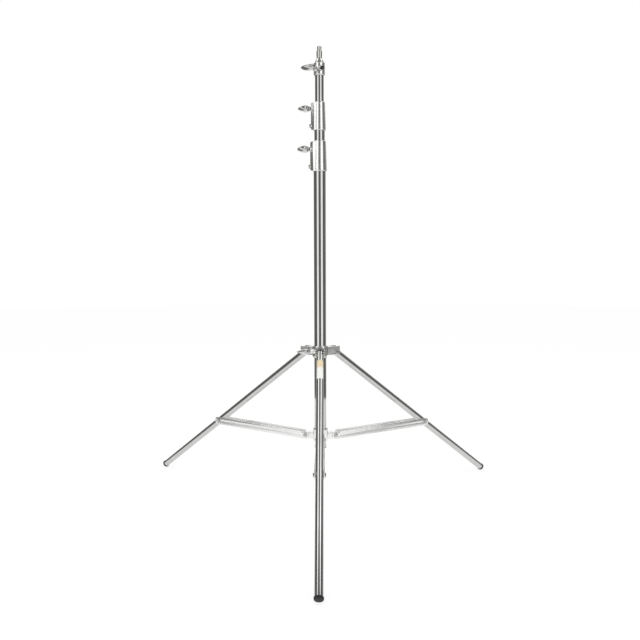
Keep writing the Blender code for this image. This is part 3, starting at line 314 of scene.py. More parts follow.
def evaluated(obj):
    """The object's mesh with its modifiers applied. The object is removed."""
    bpy.context.view_layer.update()
    graph = bpy.context.evaluated_depsgraph_get()
    mesh = bpy.data.meshes.new_from_object(obj.evaluated_get(graph))
    bpy.data.objects.remove(obj, do_unlink=True)
    return mesh


def new_object(data, name="shape"):
    obj = bpy.data.objects.new(name, data)
    bpy.context.scene.collection.objects.link(obj)
    return obj


def mesh_of(bm):
    mesh = bpy.data.meshes.new("shape")
    bm.to_mesh(mesh)
    bm.free()
    return mesh


def modified(mesh, kind, **settings):
    """The mesh after one modifier."""
    obj = new_object(mesh)
    modifier = obj.modifiers.new("change", kind)
    for name, value in settings.items():
        setattr(modifier, name, value)
    return evaluated(obj)


def moved(mesh, matrix):
    mesh.transform(matrix)
    return mesh


def offset(x=0.0, y=0.0, z=0.0):
    return Matrix.Translation((x, y, z))


def shifted(mesh, x=0.0, y=0.0, z=0.0):
    return moved(mesh, offset(x, y, z))


def along_x(mesh, start=0.0):
    return shifted(moved(mesh, Matrix.Rotation(pi / 2, 4, "Y")), x=start)


def along_y(mesh, start=0.0):
    return shifted(moved(mesh, Matrix.Rotation(-pi / 2, 4, "X")), y=start)


def about_z(mesh, angle):
    return moved(mesh, Matrix.Rotation(angle, 4, "Z"))


def turned(profile, steps=SMALL_STEPS, ring=False):
    """Turns (radius, height) points about Z. They run down the outer side; a ring's close."""
    ends = [(i, i + 1) for i in range(len(profile) - 1)]
    if ring:
        ends.append((len(profile) - 1, 0))
    mesh = bpy.data.meshes.new("profile")
    mesh.from_pydata([(radius, 0, height) for radius, height in profile], ends, [])
    merging = {"use_merge_vertices": True, "merge_threshold": MERGE_DISTANCE}
    return modified(mesh, "SCREW", steps=steps, render_steps=steps, **merging)


def drum(radius, height, chamfer, steps):
    """A solid round blank with two chamfered rims."""
    profile = [
        (0, height), (radius - chamfer, height),
        (radius, height - chamfer), (radius, chamfer),
        (radius - chamfer, 0), (0, 0),
    ]
    return turned(profile, steps)


def tube(outer, inner, low, high, steps, edge=0.0):
    """A pipe; its four rims are broken by a small chamfer."""
    profile = [
        (outer - edge, high), (outer, high - edge),
        (outer, low + edge), (outer - edge, low),
        (inner + edge, low), (inner, low + edge),
        (inner, high - edge), (inner + edge, high),
    ]
    if not edge:
        profile = [(outer, high), (outer, low), (inner, low), (inner, high)]
    return turned(profile, steps, ring=True)


def cylinder(radius, low, high, steps=SMALL_STEPS):
    bm = bmesh.new()
    bmesh.ops.create_cone(
        bm, cap_ends=True, segments=steps, radius1=radius, radius2=radius, depth=high - low
    )
    bmesh.ops.translate(bm, vec=(0, 0, (low + high) / 2), verts=bm.verts)
    return mesh_of(bm)


def spoke_rod(radius, start, end, height, azimuth=0.0):
    """A level rod that points away from Z."""
    rod = along_x(cylinder(radius, start, end))
    return about_z(shifted(rod, z=height), azimuth)


def cross_rod(radius, half_length, x=0.0, z=0.0):
    """A level rod across the XZ plane."""
    return shifted(along_y(cylinder(radius, -half_length, half_length)), x=x, z=z)


def sheet(rows):
    """Faces between rows of points, all rows as long as the first."""
    bm = bmesh.new()
    lines = [[bm.verts.new(point) for point in row] for row in rows]
    for near, far in zip(lines, lines[1:]):
        for i in range(len(near) - 1):
            bm.faces.new((near[i], near[i + 1], far[i + 1], far[i]))
    return bm


def block(low, high):
    bm = bmesh.new()
    bmesh.ops.create_cube(bm, size=1)
    size = [b - a for a, b in zip(low, high)]
    middle = [(a + b) / 2 for a, b in zip(low, high)]
    bmesh.ops.scale(bm, vec=size, verts=bm.verts)
    bmesh.ops.translate(bm, vec=middle, verts=bm.verts)
    return bm


def box(low, high):
    return mesh_of(block(low, high))


def arc(centre, radius, start, end, steps):
    x, y = centre
    angles = [start + (end - start) * i / steps for i in range(steps + 1)]
    return [(x + radius * cos(angle), y + radius * sin(angle)) for angle in angles]


def upright_plate(outline, thickness):
    """A plate in the XZ plane, thickened evenly to both sides of it."""
    curve = bpy.data.curves.new("outline", "CURVE")
    curve.dimensions = "2D"
    curve.fill_mode = "BOTH"
    curve.extrude = thickness / 2
    spline = curve.splines.new("POLY")
    spline.points.add(len(outline) - 1)
    for point, (x, y) in zip(spline.points, outline):
        point.co = (x, y, 0, 1)
    spline.use_cyclic_u = True
    bm = bmesh.new()
    bm.from_mesh(evaluated(new_object(curve)))
    bmesh.ops.remove_doubles(bm, verts=bm.verts, dist=MERGE_DISTANCE)
    bmesh.ops.recalc_face_normals(bm, faces=bm.faces)
    return moved(mesh_of(bm), Matrix.Rotation(pi / 2, 4, "X"))


def bevelled(mesh, width, segments=3):
    corners = {"limit_method": "ANGLE", "angle_limit": BEVEL_ANGLE, "miter_outer": "MITER_ARC"}
    return modified(mesh, "BEVEL", width=width, segments=segments, **corners)


def combined(body, operation, tools):
    obj = new_object(body)
    helpers = [new_object(tool) for tool in tools]
    for helper in helpers:
        boolean = obj.modifiers.new("tool", "BOOLEAN")
        boolean.operation = operation
        boolean.solver = "EXACT"
        boolean.object = helper
    mesh = evaluated(obj)
    for helper in helpers:
        bpy.data.objects.remove(helper, do_unlink=True)
    return mesh


def joined(body, *tools):
    return combined(body, "UNION", tools)


def cut(body, *tools):
    return combined(body, "DIFFERENCE", tools)


def common(body, tool):
    return combined(body, "INTERSECT", [tool])


def as_cast(mesh, step=CAST_GRAIN):
    """Melts sharp joins into the small fillets that a die casting has."""
    rough = modified(mesh, "REMESH", mode="VOXEL", voxel_size=step)
    return modified(rough, "CORRECTIVE_SMOOTH", iterations=CAST_SMOOTHING, use_only_smooth=True)


# Materials


def linear(value):
    """sRGB hex to linear colour."""
    channels = [int(value[i : i + 2], 16) / 255 for i in (1, 3, 5)]
    return [c / 12.92 if c <= 0.04045 else ((c + 0.055) / 1.055) ** 2.4 for c in channels]


def feed(tree, socket, value):
    """Gives an input another node's output, an sRGB hex colour or a plain value."""
    if isinstance(value, bpy.types.NodeSocket):
        tree.links.new(value, socket)
    elif isinstance(value, str):
        socket.default_value = (*linear(value), 1)
    else:
        socket.default_value = value


def set_up(tree, node, **settings):
    """Sets a node's properties and feeds its inputs, by name."""
    for name, value in settings.items():
        if hasattr(node, name):
            setattr(node, name, value)
        else:
            feed(tree, node.inputs[name.replace("_", " ")], value)
    return node


def add_node(tree, kind, **settings):
    return set_up(tree, tree.nodes.new(kind), **settings)


def calculated(tree, operation, *values):
    node = add_node(tree, "ShaderNodeMath", operation=operation)
    for socket, value in zip(node.inputs, values):
        feed(tree, socket, value)
    return node.outputs[0]


def mixed(tree, factor, *colours):
    mix = add_node(tree, "ShaderNodeMix", data_type="RGBA", Factor=factor)
    sockets = [socket for socket in mix.inputs if socket.type == "RGBA"]
    for socket, colour in zip(sockets, colours):
        feed(tree, socket, colour)
    return next(socket for socket in mix.outputs if socket.type == "RGBA")


def noise(tree, stretch, scale, detail=3.0, share=0.5):
    """Noise in object coordinates. A stretch under 1 draws it out along that axis."""
    place = add_node(tree, "ShaderNodeTexCoord").outputs["Object"]
    drawn = add_node(tree, "ShaderNodeMapping", Vector=place, Scale=stretch).outputs["Vector"]
    form = {"Scale": scale, "Detail": detail, "Roughness": share}
    return add_node(tree, "ShaderNodeTexNoise", Vector=drawn, **form).outputs["Fac"]


def spread(tree, value, low=0.0, high=1.0):
    """Maps a noise's middle range onto low..high."""
    ends = {"From_Min": NOISE_LOW, "From_Max": NOISE_HIGH, "To_Min": low, "To_Max": high}
    return add_node(tree, "ShaderNodeMapRange", Value=value, **ends).outputs["Result"]


def relief(tree, height, depth, strength):
    node = add_node(tree, "ShaderNodeBump", Height=height, Distance=depth, Strength=strength)
    return node.outputs["Normal"]


def start_material(name, colour, roughness, metallic=0.0):
    material = bpy.data.materials.new(name)
    material.use_nodes = True
    tree = material.node_tree
    shader = tree.nodes["Principled BSDF"]
    set_up(tree, shader, Base_Color=colour, Roughness=roughness, Metallic=metallic)
    return material, tree, shader


def surface(
    name, colour, roughness, shades, softness, clouds, grain, depth, strength, metallic=1.0
):
    """A material whose shade and roughness vary in clouds, with a fine grain in relief."""
    material, tree, shader = start_material(name, colour, roughness, metallic)
    pattern = noise(tree, *clouds)
    set_up(
        tree,
        shader,
        Base_Color=mixed(tree, spread(tree, pattern), *shades),
        Roughness=spread(tree, pattern, *softness),
        Normal=relief(tree, noise(tree, *grain), depth, strength),
    )
    return material


def bolt_steel(name, colour, *shades):
    """Coated bolts and screws: a little cloudy where the coat is thicker."""
    coat = (EVEN, 300.0, 4.0, 0.6)
    return surface(name, colour, 0.3, shades, (0.22, 0.4), coat, coat, 0.00001, 0.3)


def moulded(name, colour, shade, roughness, grain, depth):
    """A moulded plastic or rubber with a fine even grain."""
    softness = (roughness - 0.06, roughness + 0.06)
    clouds = (EVEN, 90.0)
    fine = (EVEN, 1.0 / grain)
    return surface(
        name, colour, roughness, (shade, colour), softness, clouds, fine, depth, 0.5, 0.0
    )


def printed_film():
    """Blank vinyl label: white film with one plain amber patch at its upper end."""
    material, tree, shader = start_material("blank_vinyl_label", "#f3f2ee", 0.38)
    place = add_node(tree, "ShaderNodeTexCoord").outputs["Object"]
    axes = add_node(tree, "ShaderNodeSeparateXYZ", Vector=place)
    patch_end = LABEL_START + LABEL_PATCH_SHARE * LABEL_LENGTH
    patch = calculated(tree, "LESS_THAN", axes.outputs["X"], patch_end)
    fibre = noise(tree, EVEN, 260.0)
    tone = spread(tree, fibre)
    white = mixed(tree, tone, "#ecebe6", "#f7f6f3")
    amber = mixed(tree, tone, "#e3cfa6", "#ecdcbc")
    normal = relief(tree, fibre, 0.00004, 0.3)
    set_up(tree, shader, Base_Color=mixed(tree, patch, white, amber), Normal=normal)
    return material


FINISHES = {
    # Chrome on drawn steel tube: mirror bright, with faint draw lines along the tube
    "chrome_tube": surface(
        "chrome_plated_steel_tube",
        "#c8c8c7",
        0.06,
        shades=("#c3c3c2", "#cdcdcc"),
        softness=(0.04, 0.08),
        clouds=((1.0, 1.0, 0.4), 34.0, 5.0, 0.6),
        grain=((1.0, 1.0, 0.02), 900.0),
        depth=0.000003,
        strength=0.2,
    ),
    # Die-cast alloy, polished and plated: bright, with the soft skin that casting leaves
    "polished_casting": surface(
        "polished_die_casting",
        "#f2f2f1",
        0.22,
        shades=("#ededeb", "#f7f7f6"),
        softness=(0.18, 0.26),
        clouds=(EVEN, 60.0, 4.0, 0.6),
        grain=(EVEN, 420.0, 2.0),
        depth=0.000006,
        strength=0.15,
    ),
    # Plated zinc: a die-cast wing handle, tumbled and chromed, with softened glints
    "wing_handle": surface(
        "plated_zinc_handle",
        "#c8c8c7",
        0.15,
        shades=("#bdbdbc", "#d1d1d0"),
        softness=(0.09, 0.2),
        clouds=(EVEN, 110.0, 4.0, 0.6),
        grain=(EVEN, 500.0, 2.0),
        depth=0.000006,
        strength=0.15,
    ),
    # Turned and plated steel: fine tool rings round the stud, which blur its reflections
    "stud_plating": surface(
        "turned_plated_steel",
        "#d8d8d4",
        0.18,
        shades=("#c9c9c5", "#e0e0dc"),
        softness=(0.12, 0.26),
        clouds=(EVEN, 150.0, 4.0),
        grain=((0.01, 0.01, 1.0), 2600.0, 2.0),
        depth=0.000008,
        strength=0.3,
    ),
    # Folded sheet steel, bright zinc plated: satin, with rolling lines along the channel
    "brace_channel": surface(
        "bright_plated_sheet_steel",
        "#f2f2f1",
        0.4,
        shades=("#eeeeed", "#f7f7f6"),
        softness=(0.37, 0.43),
        clouds=((0.3, 1.0, 1.0), 70.0, 4.0, 0.6),
        grain=((0.02, 1.0, 1.0), 1400.0),
        depth=0.000003,
        strength=0.15,
    ),
    # Zinc-plated steel: bright grey
    "zinc_fastener": bolt_steel("zinc_plated_steel", "#c4c5c3", "#b4b5b2", "#d0d1cf"),
    # Near-black bolt steel, with a faint oily shine
    "black_fastener": bolt_steel("near_black_bolt_steel", "#3c3c3d", "#323233", "#464647"),
    "nylon": moulded("natural_nylon", "#e2dfd4", "#d6d2c4", 0.45, 0.0012, 0.00005),
    "black_plastic": moulded("black_abs_plastic", "#232325", "#1b1b1d", 0.45, 0.0008, 0.00006),
    "black_rubber": moulded("black_moulded_rubber", "#1e1e20", "#151517", 0.6, 0.0007, 0.00012),
    "label": printed_film(),
}


# Placing finished pieces


def finished(node, mesh, place):
    """The finished piece that stands in for a node of the frame."""
    obj = new_object(mesh, node + "_finished")
    if not mesh.materials:
        mesh.materials.append(None)
    mesh.materials[0] = FINISHES[SLOT_OF[node]]
    mesh.shade_smooth()
    mesh.set_sharp_from_angle(angle=SHARP_ANGLE)
    obj.matrix_world = place
    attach(obj, BODY_OF[node])
    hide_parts(node)


def on_axis(height, azimuth=0.0):
    """A place on the column's axis, turned to an azimuth."""
    return Matrix.Translation(AXIS + Vector((0, 0, height))) @ Matrix.Rotation(azimuth, 4, "Z")


def bottom(node):
    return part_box(node)[0].z


def top(node):
    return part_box(node)[1].z


def height_of(node):
    return top(node) - bottom(node)


def azimuth_of(x, y):
    return Vector((x, y)).angle_signed(Vector((1, 0)))


def handle_azimuth(prefix):
    return azimuth_of(*JOINTS[prefix + "_handle_turn"]["axis"][:2])


def joint_place(name, lean, sign=1):
    """A frame at a joint: X leans away from the column, Y lies along the joint's axis."""
    joint = JOINTS[name]
    tangent = sign * Vector(joint["axis"])
    outward = tangent.cross(Vector((0, 0, 1)))
    x = outward * cos(lean) + Vector((0, 0, sin(lean)))
    matrix = Matrix((x, tangent, x.cross(tangent))).transposed().to_4x4()
    matrix.translation = joint["pos_m"]
    return matrix


def leg_place(name):
    return joint_place(name + "_leg_turn", LEG_SPREAD - pi / 2)


# Fasteners


def hexagon(radius, low, high, both_ends=False):
    """A hexagon along Z whose corners are turned off at its top, or at both ends."""
    flat = radius * HEXAGON_FLAT
    clear = radius * HEXAGON_CLEAR
    drop = radius * HEXAGON_DROP
    profile = [(0, high + GAP), (flat, high + GAP), (clear, high - drop)]
    if both_ends:
        profile += [(clear, low + drop), (flat, low - GAP)]
    else:
        profile.append((clear, low - GAP))
    profile.append((0, low - GAP))
    return common(cylinder(radius, low, high, HEXAGON), turned(profile))


def threaded_profile(radius, low, high, pitch):
    """Points down a thread's side, from high to low."""
    root = radius - THREAD_DEPTH
    turns = max(1, round((high - low) / pitch))
    step = (high - low) / turns
    points = [(root, high)]
    for i in range(turns):
        start = high - i * step
        points.append((radius, start - THREAD_CREST_END * step))
        points.append((root, start - THREAD_ROOT_START * step))
    return [*points, (root, low)]


def hexagon_bolt(shank_radius, shank_length, head_radius, head_length, threaded_end=0.0):
    """A bolt along X: its shank runs back from zero and its head forward."""
    plain_end = -shank_length + threaded_end
    inside_head = head_length / 2
    profile = [(0, inside_head), (shank_radius, inside_head), (shank_radius, plain_end)]
    if threaded_end:
        profile += threaded_profile(shank_radius, -shank_length, plain_end, BOLT_PITCH)
    profile.append((0, -shank_length))
    return along_x(joined(hexagon(head_radius, 0, head_length), turned(profile)))


def finish_set_bolt(node, tube_radius, reach, height, azimuth):
    """A set bolt in a casting: its head lies at the reach, its tip at the tube."""
    depth = reach - tube_radius
    bolt = hexagon_bolt(SET_BOLT_RADIUS, depth, SET_BOLT_HEAD_RADIUS, SET_BOLT_HEAD)
    finished(node, bolt, on_axis(height, azimuth) @ offset(reach + GAP))


def clamp_screw(tip_to_face):
    """A clamp screw along X. Zero is the casting's face, where its flange sits."""
    flange_end = CLAMP_SCREW_FLANGE + GAP
    profile = [
        (0, CLAMP_SCREW_IN_HANDLE), (CLAMP_SCREW_RADIUS, CLAMP_SCREW_IN_HANDLE),
        (CLAMP_SCREW_RADIUS, flange_end), (CLAMP_SCREW_FLANGE_RADIUS - GAP, flange_end),
        (CLAMP_SCREW_FLANGE_RADIUS, flange_end - GAP), (CLAMP_SCREW_FLANGE_RADIUS, GAP),
    ]
    profile += threaded_profile(CLAMP_SCREW_RADIUS, -tip_to_face, GAP, CLAMP_THREAD_PITCH)
    profile.append((0, -tip_to_face))
    return along_x(turned(profile))


def wing_handle():
    """A cast handle along X: a round hub that spreads into two wings along Y."""
    half_span = HANDLE_SPAN * CAGE_HALF_SPAN
    half_thickness = HANDLE_THICKNESS * CAGE_HALF_THICKNESS
    bm = block(
        (HANDLE_LENGTH * CAGE_START, -half_span, -half_thickness),
        (HANDLE_LENGTH * CAGE_END, half_span, half_thickness),
    )
    outer_side = max(bm.faces, key=lambda face: face.calc_center_median().x)
    bmesh.ops.scale(bm, vec=(1, 1, CAGE_OUTER_SHARE), verts=outer_side.verts)
    for side in (1, -1):
        for reach, middle, length_share, thickness_share in WING_STEPS:
            outermost = max(bm.faces, key=lambda face: side * face.calc_center_median().y)
            extruded = bmesh.ops.extrude_discrete_faces(bm, faces=[outermost])["faces"][0]
            corners = extruded.verts
            centre = extruded.calc_center_median()
            target = Vector((HANDLE_LENGTH * middle, side * HANDLE_SPAN * reach, 0))
            bmesh.ops.translate(bm, vec=target - centre, verts=corners)
            around = Matrix.Translation(-target)
            shares = (length_share, 1, thickness_share)
            bmesh.ops.scale(bm, vec=shares, space=around, verts=corners)
    bmesh.ops.recalc_face_normals(bm, faces=bm.faces)
    levels = {"levels": HANDLE_ROUNDING, "render_levels": HANDLE_ROUNDING}
    wings = modified(mesh_of(bm), "SUBSURF", **levels)
    hub_start = CLAMP_SCREW_FLANGE + 2 * GAP
    hub_profile = [
        (0, HANDLE_HUB_LENGTH), (HANDLE_HUB_TIP_RADIUS, HANDLE_HUB_LENGTH),
        (HANDLE_HUB_RADIUS, hub_start + 2 * TUBE_EDGE),
        (HANDLE_HUB_RADIUS - TUBE_EDGE, hub_start), (0, hub_start),
    ]
    hub = along_x(turned(hub_profile))
    socket_end = CLAMP_SCREW_IN_HANDLE + GAP
    socket = along_x(cylinder(CLAMP_SCREW_RADIUS + GAP, -OVERRUN, socket_end))
    return cut(as_cast(joined(wings, hub), HANDLE_GRAIN), socket)


def clamp_passage(tube_radius, reach):
    """The cut for a clamp along X: a pocket for the shoe, then a bore for the screw."""
    pocket_end = tube_radius + SHOE_THICKNESS + 2 * GAP
    pocket = cylinder(SHOE_RADIUS + GAP, tube_radius / 2, pocket_end)
    bore = cylinder(CLAMP_SCREW_RADIUS + GAP, tube_radius / 2, reach + OVERRUN)
    return along_x(joined(bore, pocket))


def finish_clamp(prefix, face_reach, tube_radius):
    """The screw, shoe and handle of one clamp, on the axis of the handle's joint."""
    joint = JOINTS[prefix + "_handle_turn"]
    x, y, _ = joint["axis"]
    axis = on_axis(joint["pos_m"][2]) @ Matrix(
        ((x, -y, 0, 0), (y, x, 0, 0), (0, 0, 1, 0), (0, 0, 0, 1))
    )
    tip_to_face = face_reach - tube_radius - GAP
    shoe_node = prefix + "_brake_shoe"
    if shoe_node in BODY_OF:
        tip_to_face -= SHOE_THICKNESS + GAP
        shoe = along_x(drum(SHOE_RADIUS, SHOE_THICKNESS, SHOE_EDGE, SMALL_STEPS))
        finished(shoe_node, shoe, axis @ offset(tube_radius + GAP))
    turn = axis @ offset(face_reach) @ Matrix.Rotation(HANDLE_TURN[prefix], 4, "X")
    finished(prefix + "_clamp_screw", clamp_screw(tip_to_face), turn)
    finished(prefix + "_wing_handle", WING_HANDLE, turn)


# Tubes, risers and collars


def finish_tube(node, radius, wall):
    pipe = tube(radius, radius - wall, 0, height_of(node), TUBE_STEPS, TUBE_EDGE)
    finished(node, pipe, on_axis(bottom(node)))


def finish_end_plug():
    spigot = COLUMN_RADIUS - COLUMN_WALL - GAP
    rim = END_PLUG_FLANGE / 2
    profile = [(spigot, END_PLUG_SPIGOT), (spigot, -GAP), (COLUMN_RADIUS, -GAP)]
    profile += arc((COLUMN_RADIUS - rim, -END_PLUG_FLANGE + rim), rim, 0, -pi / 2, CORNER_STEPS)
    profile += [
        (END_PLUG_BORE_RADIUS, -END_PLUG_FLANGE), (END_PLUG_BORE_RADIUS, END_PLUG_SPIGOT),
    ]
    plug = turned(profile, CASTING_STEPS, ring=True)
    finished("column_end_plug", plug, on_axis(bottom("column_tube")))


def rib_block(height, foot_radius, top_radius, reach):
    """The rib seen from above, drawn up along the tapered sleeve."""
    root_x = reach - RIB_FACE_DEPTH
    points = []
    for radius, level in ((foot_radius, 0), (top_radius, height)):
        tangent_x = (radius - RIB_EMBED) * sin(RIB_TANGENT)
        tangent_y = (radius - RIB_EMBED) * cos(RIB_TANGENT)
        root_y = tangent_y - (root_x - tangent_x) * tan(RIB_TANGENT)
        narrowing = (root_y - RIB_FACE_WIDTH / 2) / RIB_FACE_DEPTH
        end_y = RIB_FACE_WIDTH / 2 - narrowing * RIB_END_SETBACK
        side = [(tangent_x, tangent_y), (root_x, root_y), (reach + RIB_END_SETBACK, end_y)]
        points += [(x, -y, level) for x, y in side]
        points += [(x, y, level) for x, y in reversed(side)]
    count = len(points) // 2
    faces = [tuple(reversed(range(count))), tuple(range(count, 2 * count))]
    for near in range(count):
        far = (near + 1) % count
        faces.append((near, far, count + far, count + near))
    mesh = bpy.data.meshes.new("rib")
    mesh.from_pydata(points, [], faces)
    return mesh


def clamp_collar(height, screw_height, tube_radius, riser_radius):
    """A clamp casting: a tapered sleeve with a rib that carries the clamp and a set bolt."""
    foot_radius = tube_radius + COLLAR_WALL
    top_radius = riser_radius + COLLAR_TOP_WALL
    sleeve = turned(
        [
            (0, height), (top_radius - COLLAR_CHAMFER / 2, height),
            (top_radius, height - COLLAR_CHAMFER), (foot_radius, COLLAR_CHAMFER),
            (foot_radius - COLLAR_CHAMFER / 2, 0), (0, 0),
        ],
        CASTING_STEPS,
    )
    reach = tube_radius + RIB_REACH
    low = RIB_END_SETBACK
    high = height - RIB_END_SETBACK
    side_view = upright_plate(
        [
            (0, low), (reach - RIB_END_CHAMFER, low),
            (reach, low + RIB_END_CHAMFER), (reach, high - RIB_END_CHAMFER),
            (reach - RIB_END_CHAMFER, high), (0, high),
        ],
        4 * foot_radius,
    )
    rib = common(rib_block(height, foot_radius, top_radius, reach), side_view)
    inner = riser_radius / 2
    boss = spoke_rod(CLAMP_BOSS_RADIUS, inner, reach + GAP, screw_height)
    pad = spoke_rod(SET_BOLT_HEAD_RADIUS + GAP, inner, reach + GAP, SET_BOLT_ABOVE_BOTTOM)
    body = as_cast(joined(sleeve, bevelled(rib, RIB_ROUND), boss, pad))
    tube_bore = cylinder(tube_radius + GAP, -OVERRUN, COLLAR_SEAT_DEPTH, TUBE_STEPS)
    riser_bore = cylinder(riser_radius + GAP, OVERRUN, height + OVERRUN, TUBE_STEPS)
    passage = shifted(clamp_passage(riser_radius, reach), z=screw_height)
    bolt_hole = spoke_rod(
        SET_BOLT_RADIUS + GAP, tube_radius / 2, reach + OVERRUN, SET_BOLT_ABOVE_BOTTOM
    )
    return cut(body, tube_bore, riser_bore, passage, bolt_hole)


def finish_clamp_collar(prefix, tube_radius, riser_radius):
    node = prefix + "_collar"
    base = bottom(node)
    screw_height = JOINTS[prefix + "_handle_turn"]["pos_m"][2] - base
    casting = clamp_collar(height_of(node), screw_height, tube_radius, riser_radius)
    finished(node, casting, on_axis(base, pi))
    reach = tube_radius + RIB_REACH
    finish_set_bolt(prefix + "_set_bolt", tube_radius, reach, base + SET_BOLT_ABOVE_BOTTOM, pi)
    finish_clamp(prefix, reach + GAP, riser_radius)


def finish_top_casting():
    """The head casting: a drum with two bosses and a hollow spigot down into riser 2."""
    half = TOP_CASTING_HEIGHT / 2
    clamp = (CLAMP_SCREW_RADIUS, TOP_BOSS_REACH, handle_azimuth("top"))
    bolt = (SET_BOLT_RADIUS, TOP_BOLT_REACH, TOP_BOLT_AZIMUTH)
    bosses = []
    bores = []
    for radius, reach, azimuth in (clamp, bolt):
        bosses.append(spoke_rod(CLAMP_BOSS_RADIUS, STUD_RADIUS, reach, half, azimuth))
        bores.append(spoke_rod(radius + GAP, 0, reach + OVERRUN, half, azimuth))
    blank = drum(TOP_CASTING_RADIUS, TOP_CASTING_HEIGHT, TOP_CASTING_CHAMFER, CASTING_STEPS)
    body = as_cast(joined(blank, *bosses))
    foot = -TOP_CASTING_SPIGOT
    spigot_radius = RISER_2_RADIUS - RISER_WALL - GAP
    spigot = tube(spigot_radius, STUD_RADIUS + GAP / 2, foot, OVERRUN, CASTING_STEPS)
    stud_bore = cylinder(
        STUD_RADIUS + GAP, foot - OVERRUN, TOP_CASTING_HEIGHT + OVERRUN, CASTING_STEPS
    )
    casting = cut(joined(body, spigot), stud_bore, *bores)
    base = top("top_casting") - TOP_CASTING_HEIGHT
    finished("top_casting", casting, on_axis(base))
    finish_set_bolt("top_set_bolt", STUD_RADIUS, TOP_BOLT_REACH, base + half, TOP_BOLT_AZIMUTH)
    finish_clamp("top", TOP_BOSS_REACH, STUD_RADIUS)


def finish_stud():
    """The 16 mm stud. Zero is the underside of its flange, on the top casting."""
    waist_top = STUD_BELL_LENGTH + STUD_WAIST_LENGTH
    body_top = waist_top + STUD_BODY_LENGTH
    groove_top = body_top + STUD_GROOVE_LENGTH
    tip_top = groove_top + STUD_TIP_LENGTH
    chamfer = STUD_CHAMFER
    fillet = STUD_GROOVE_LENGTH / 3
    bell = []
    points = 2 * CORNER_STEPS
    for i in range(points + 1):
        share = i / points
        spreading = (STUD_FLANGE_RADIUS - STUD_WAIST_RADIUS) * share**STUD_BELL_CURVE
        drop = (STUD_BELL_LENGTH - chamfer) * share
        bell.append((STUD_WAIST_RADIUS + spreading, STUD_BELL_LENGTH - drop))
    stud = turned(
        [
            (0, tip_top),
            *arc(
                (STUD_TIP_RADIUS - chamfer, tip_top - chamfer), chamfer, pi / 2, 0, CORNER_STEPS
            ),
            (STUD_TIP_RADIUS, groove_top + fillet), (STUD_GROOVE_RADIUS + fillet, groove_top),
            (STUD_GROOVE_RADIUS, groove_top - fillet), (STUD_GROOVE_RADIUS, body_top),
            (STUD_RADIUS - chamfer, body_top), (STUD_RADIUS, body_top - chamfer),
            (STUD_RADIUS, waist_top), (STUD_WAIST_RADIUS, waist_top - chamfer),
            *bell,
            (STUD_FLANGE_RADIUS, GAP), (STUD_RADIUS, GAP),
            (STUD_RADIUS, chamfer - STUD_TENON_LENGTH),
            (STUD_RADIUS - chamfer, -STUD_TENON_LENGTH), (0, -STUD_TENON_LENGTH),
        ],
        CASTING_STEPS,
    )
    finished("stud", stud, on_axis(top("stud") - tip_top))


# Legs and feet


def leg_tube_shape():
    pipe = tube(
        LEG_RADIUS,
        LEG_RADIUS - LEG_WALL,
        -LEG_TOP_BEYOND_PIVOT,
        LEG_LENGTH - PLUG_LENGTH - GAP,
        TUBE_STEPS,
        TUBE_EDGE,
    )
    half = LEG_RADIUS + OVERRUN
    bush_hole = cross_rod(LEG_BUSH_RADIUS + GAP, half)
    sleeve_hole = cross_rod(TIP_SLEEVE_RADIUS + GAP, half, BRACE_PIVOT_ON_LEG)
    return cut(along_x(pipe), bush_hole, sleeve_hole)


def foot_plug_shape(place):
    """A moulded plug with one shallow groove, cut flat where it bears on the floor."""
    spigot = LEG_RADIUS - LEG_WALL - GAP
    start = LEG_LENGTH - PLUG_LENGTH
    groove = start + (PLUG_LENGTH - PLUG_ROUND) / 2
    corner = (PLUG_RADIUS - PLUG_ROUND, LEG_LENGTH - PLUG_ROUND)
    profile = [(0, LEG_LENGTH)]
    profile += arc(corner, PLUG_ROUND, PLUG_CROWN_EDGE, 0, 2 * CORNER_STEPS)
    profile += [
        (PLUG_RADIUS, groove + 2 * PLUG_GROOVE),
        (PLUG_RADIUS - PLUG_GROOVE, groove + PLUG_GROOVE), (PLUG_RADIUS - PLUG_GROOVE, groove),
        (PLUG_RADIUS, groove - PLUG_GROOVE), (PLUG_RADIUS, start + PLUG_GROOVE),
        (PLUG_RADIUS - PLUG_GROOVE, start), (spigot, start),
        (spigot, start - PLUG_SPIGOT), (0, start - PLUG_SPIGOT),
    ]
    plug = along_x(turned(profile, CASTING_STEPS))
    side = 4 * PLUG_RADIUS
    end = place @ Vector((LEG_LENGTH, 0, 0))
    floor = box((end.x - side, end.y - side, -side), (end.x + side, end.y + side, 0))
    return cut(plug, moved(floor, place.inverted()))


def label_shape():
    """A thin blank label wrapped on the side of the leg that faces up and out."""
    radius = LEG_RADIUS + GAP
    rows = []
    for i in range(LABEL_LENGTHWISE + 1):
        along = LABEL_LENGTH * i / LABEL_LENGTHWISE
        inset = max(0.0, LABEL_CORNER - min(along, LABEL_LENGTH - along))
        narrowing = (LABEL_CORNER - (LABEL_CORNER**2 - inset**2) ** 0.5) / radius
        reach = LABEL_HALF_ANGLE - narrowing
        angles = [reach * (2 * j / LABEL_AROUND - 1) for j in range(LABEL_AROUND + 1)]
        rows.append([(LABEL_START + along, radius * sin(a), radius * cos(a)) for a in angles])
    bm = sheet(rows)
    bmesh.ops.recalc_face_normals(bm, faces=bm.faces)
    return modified(mesh_of(bm), "SOLIDIFY", thickness=LABEL_THICKNESS, offset=1)


def sleeve_shape(radius, half_length):
    bore = PIVOT_BOLT_RADIUS + GAP
    return along_y(tube(radius, bore, -half_length, half_length, SMALL_STEPS, TUBE_EDGE))


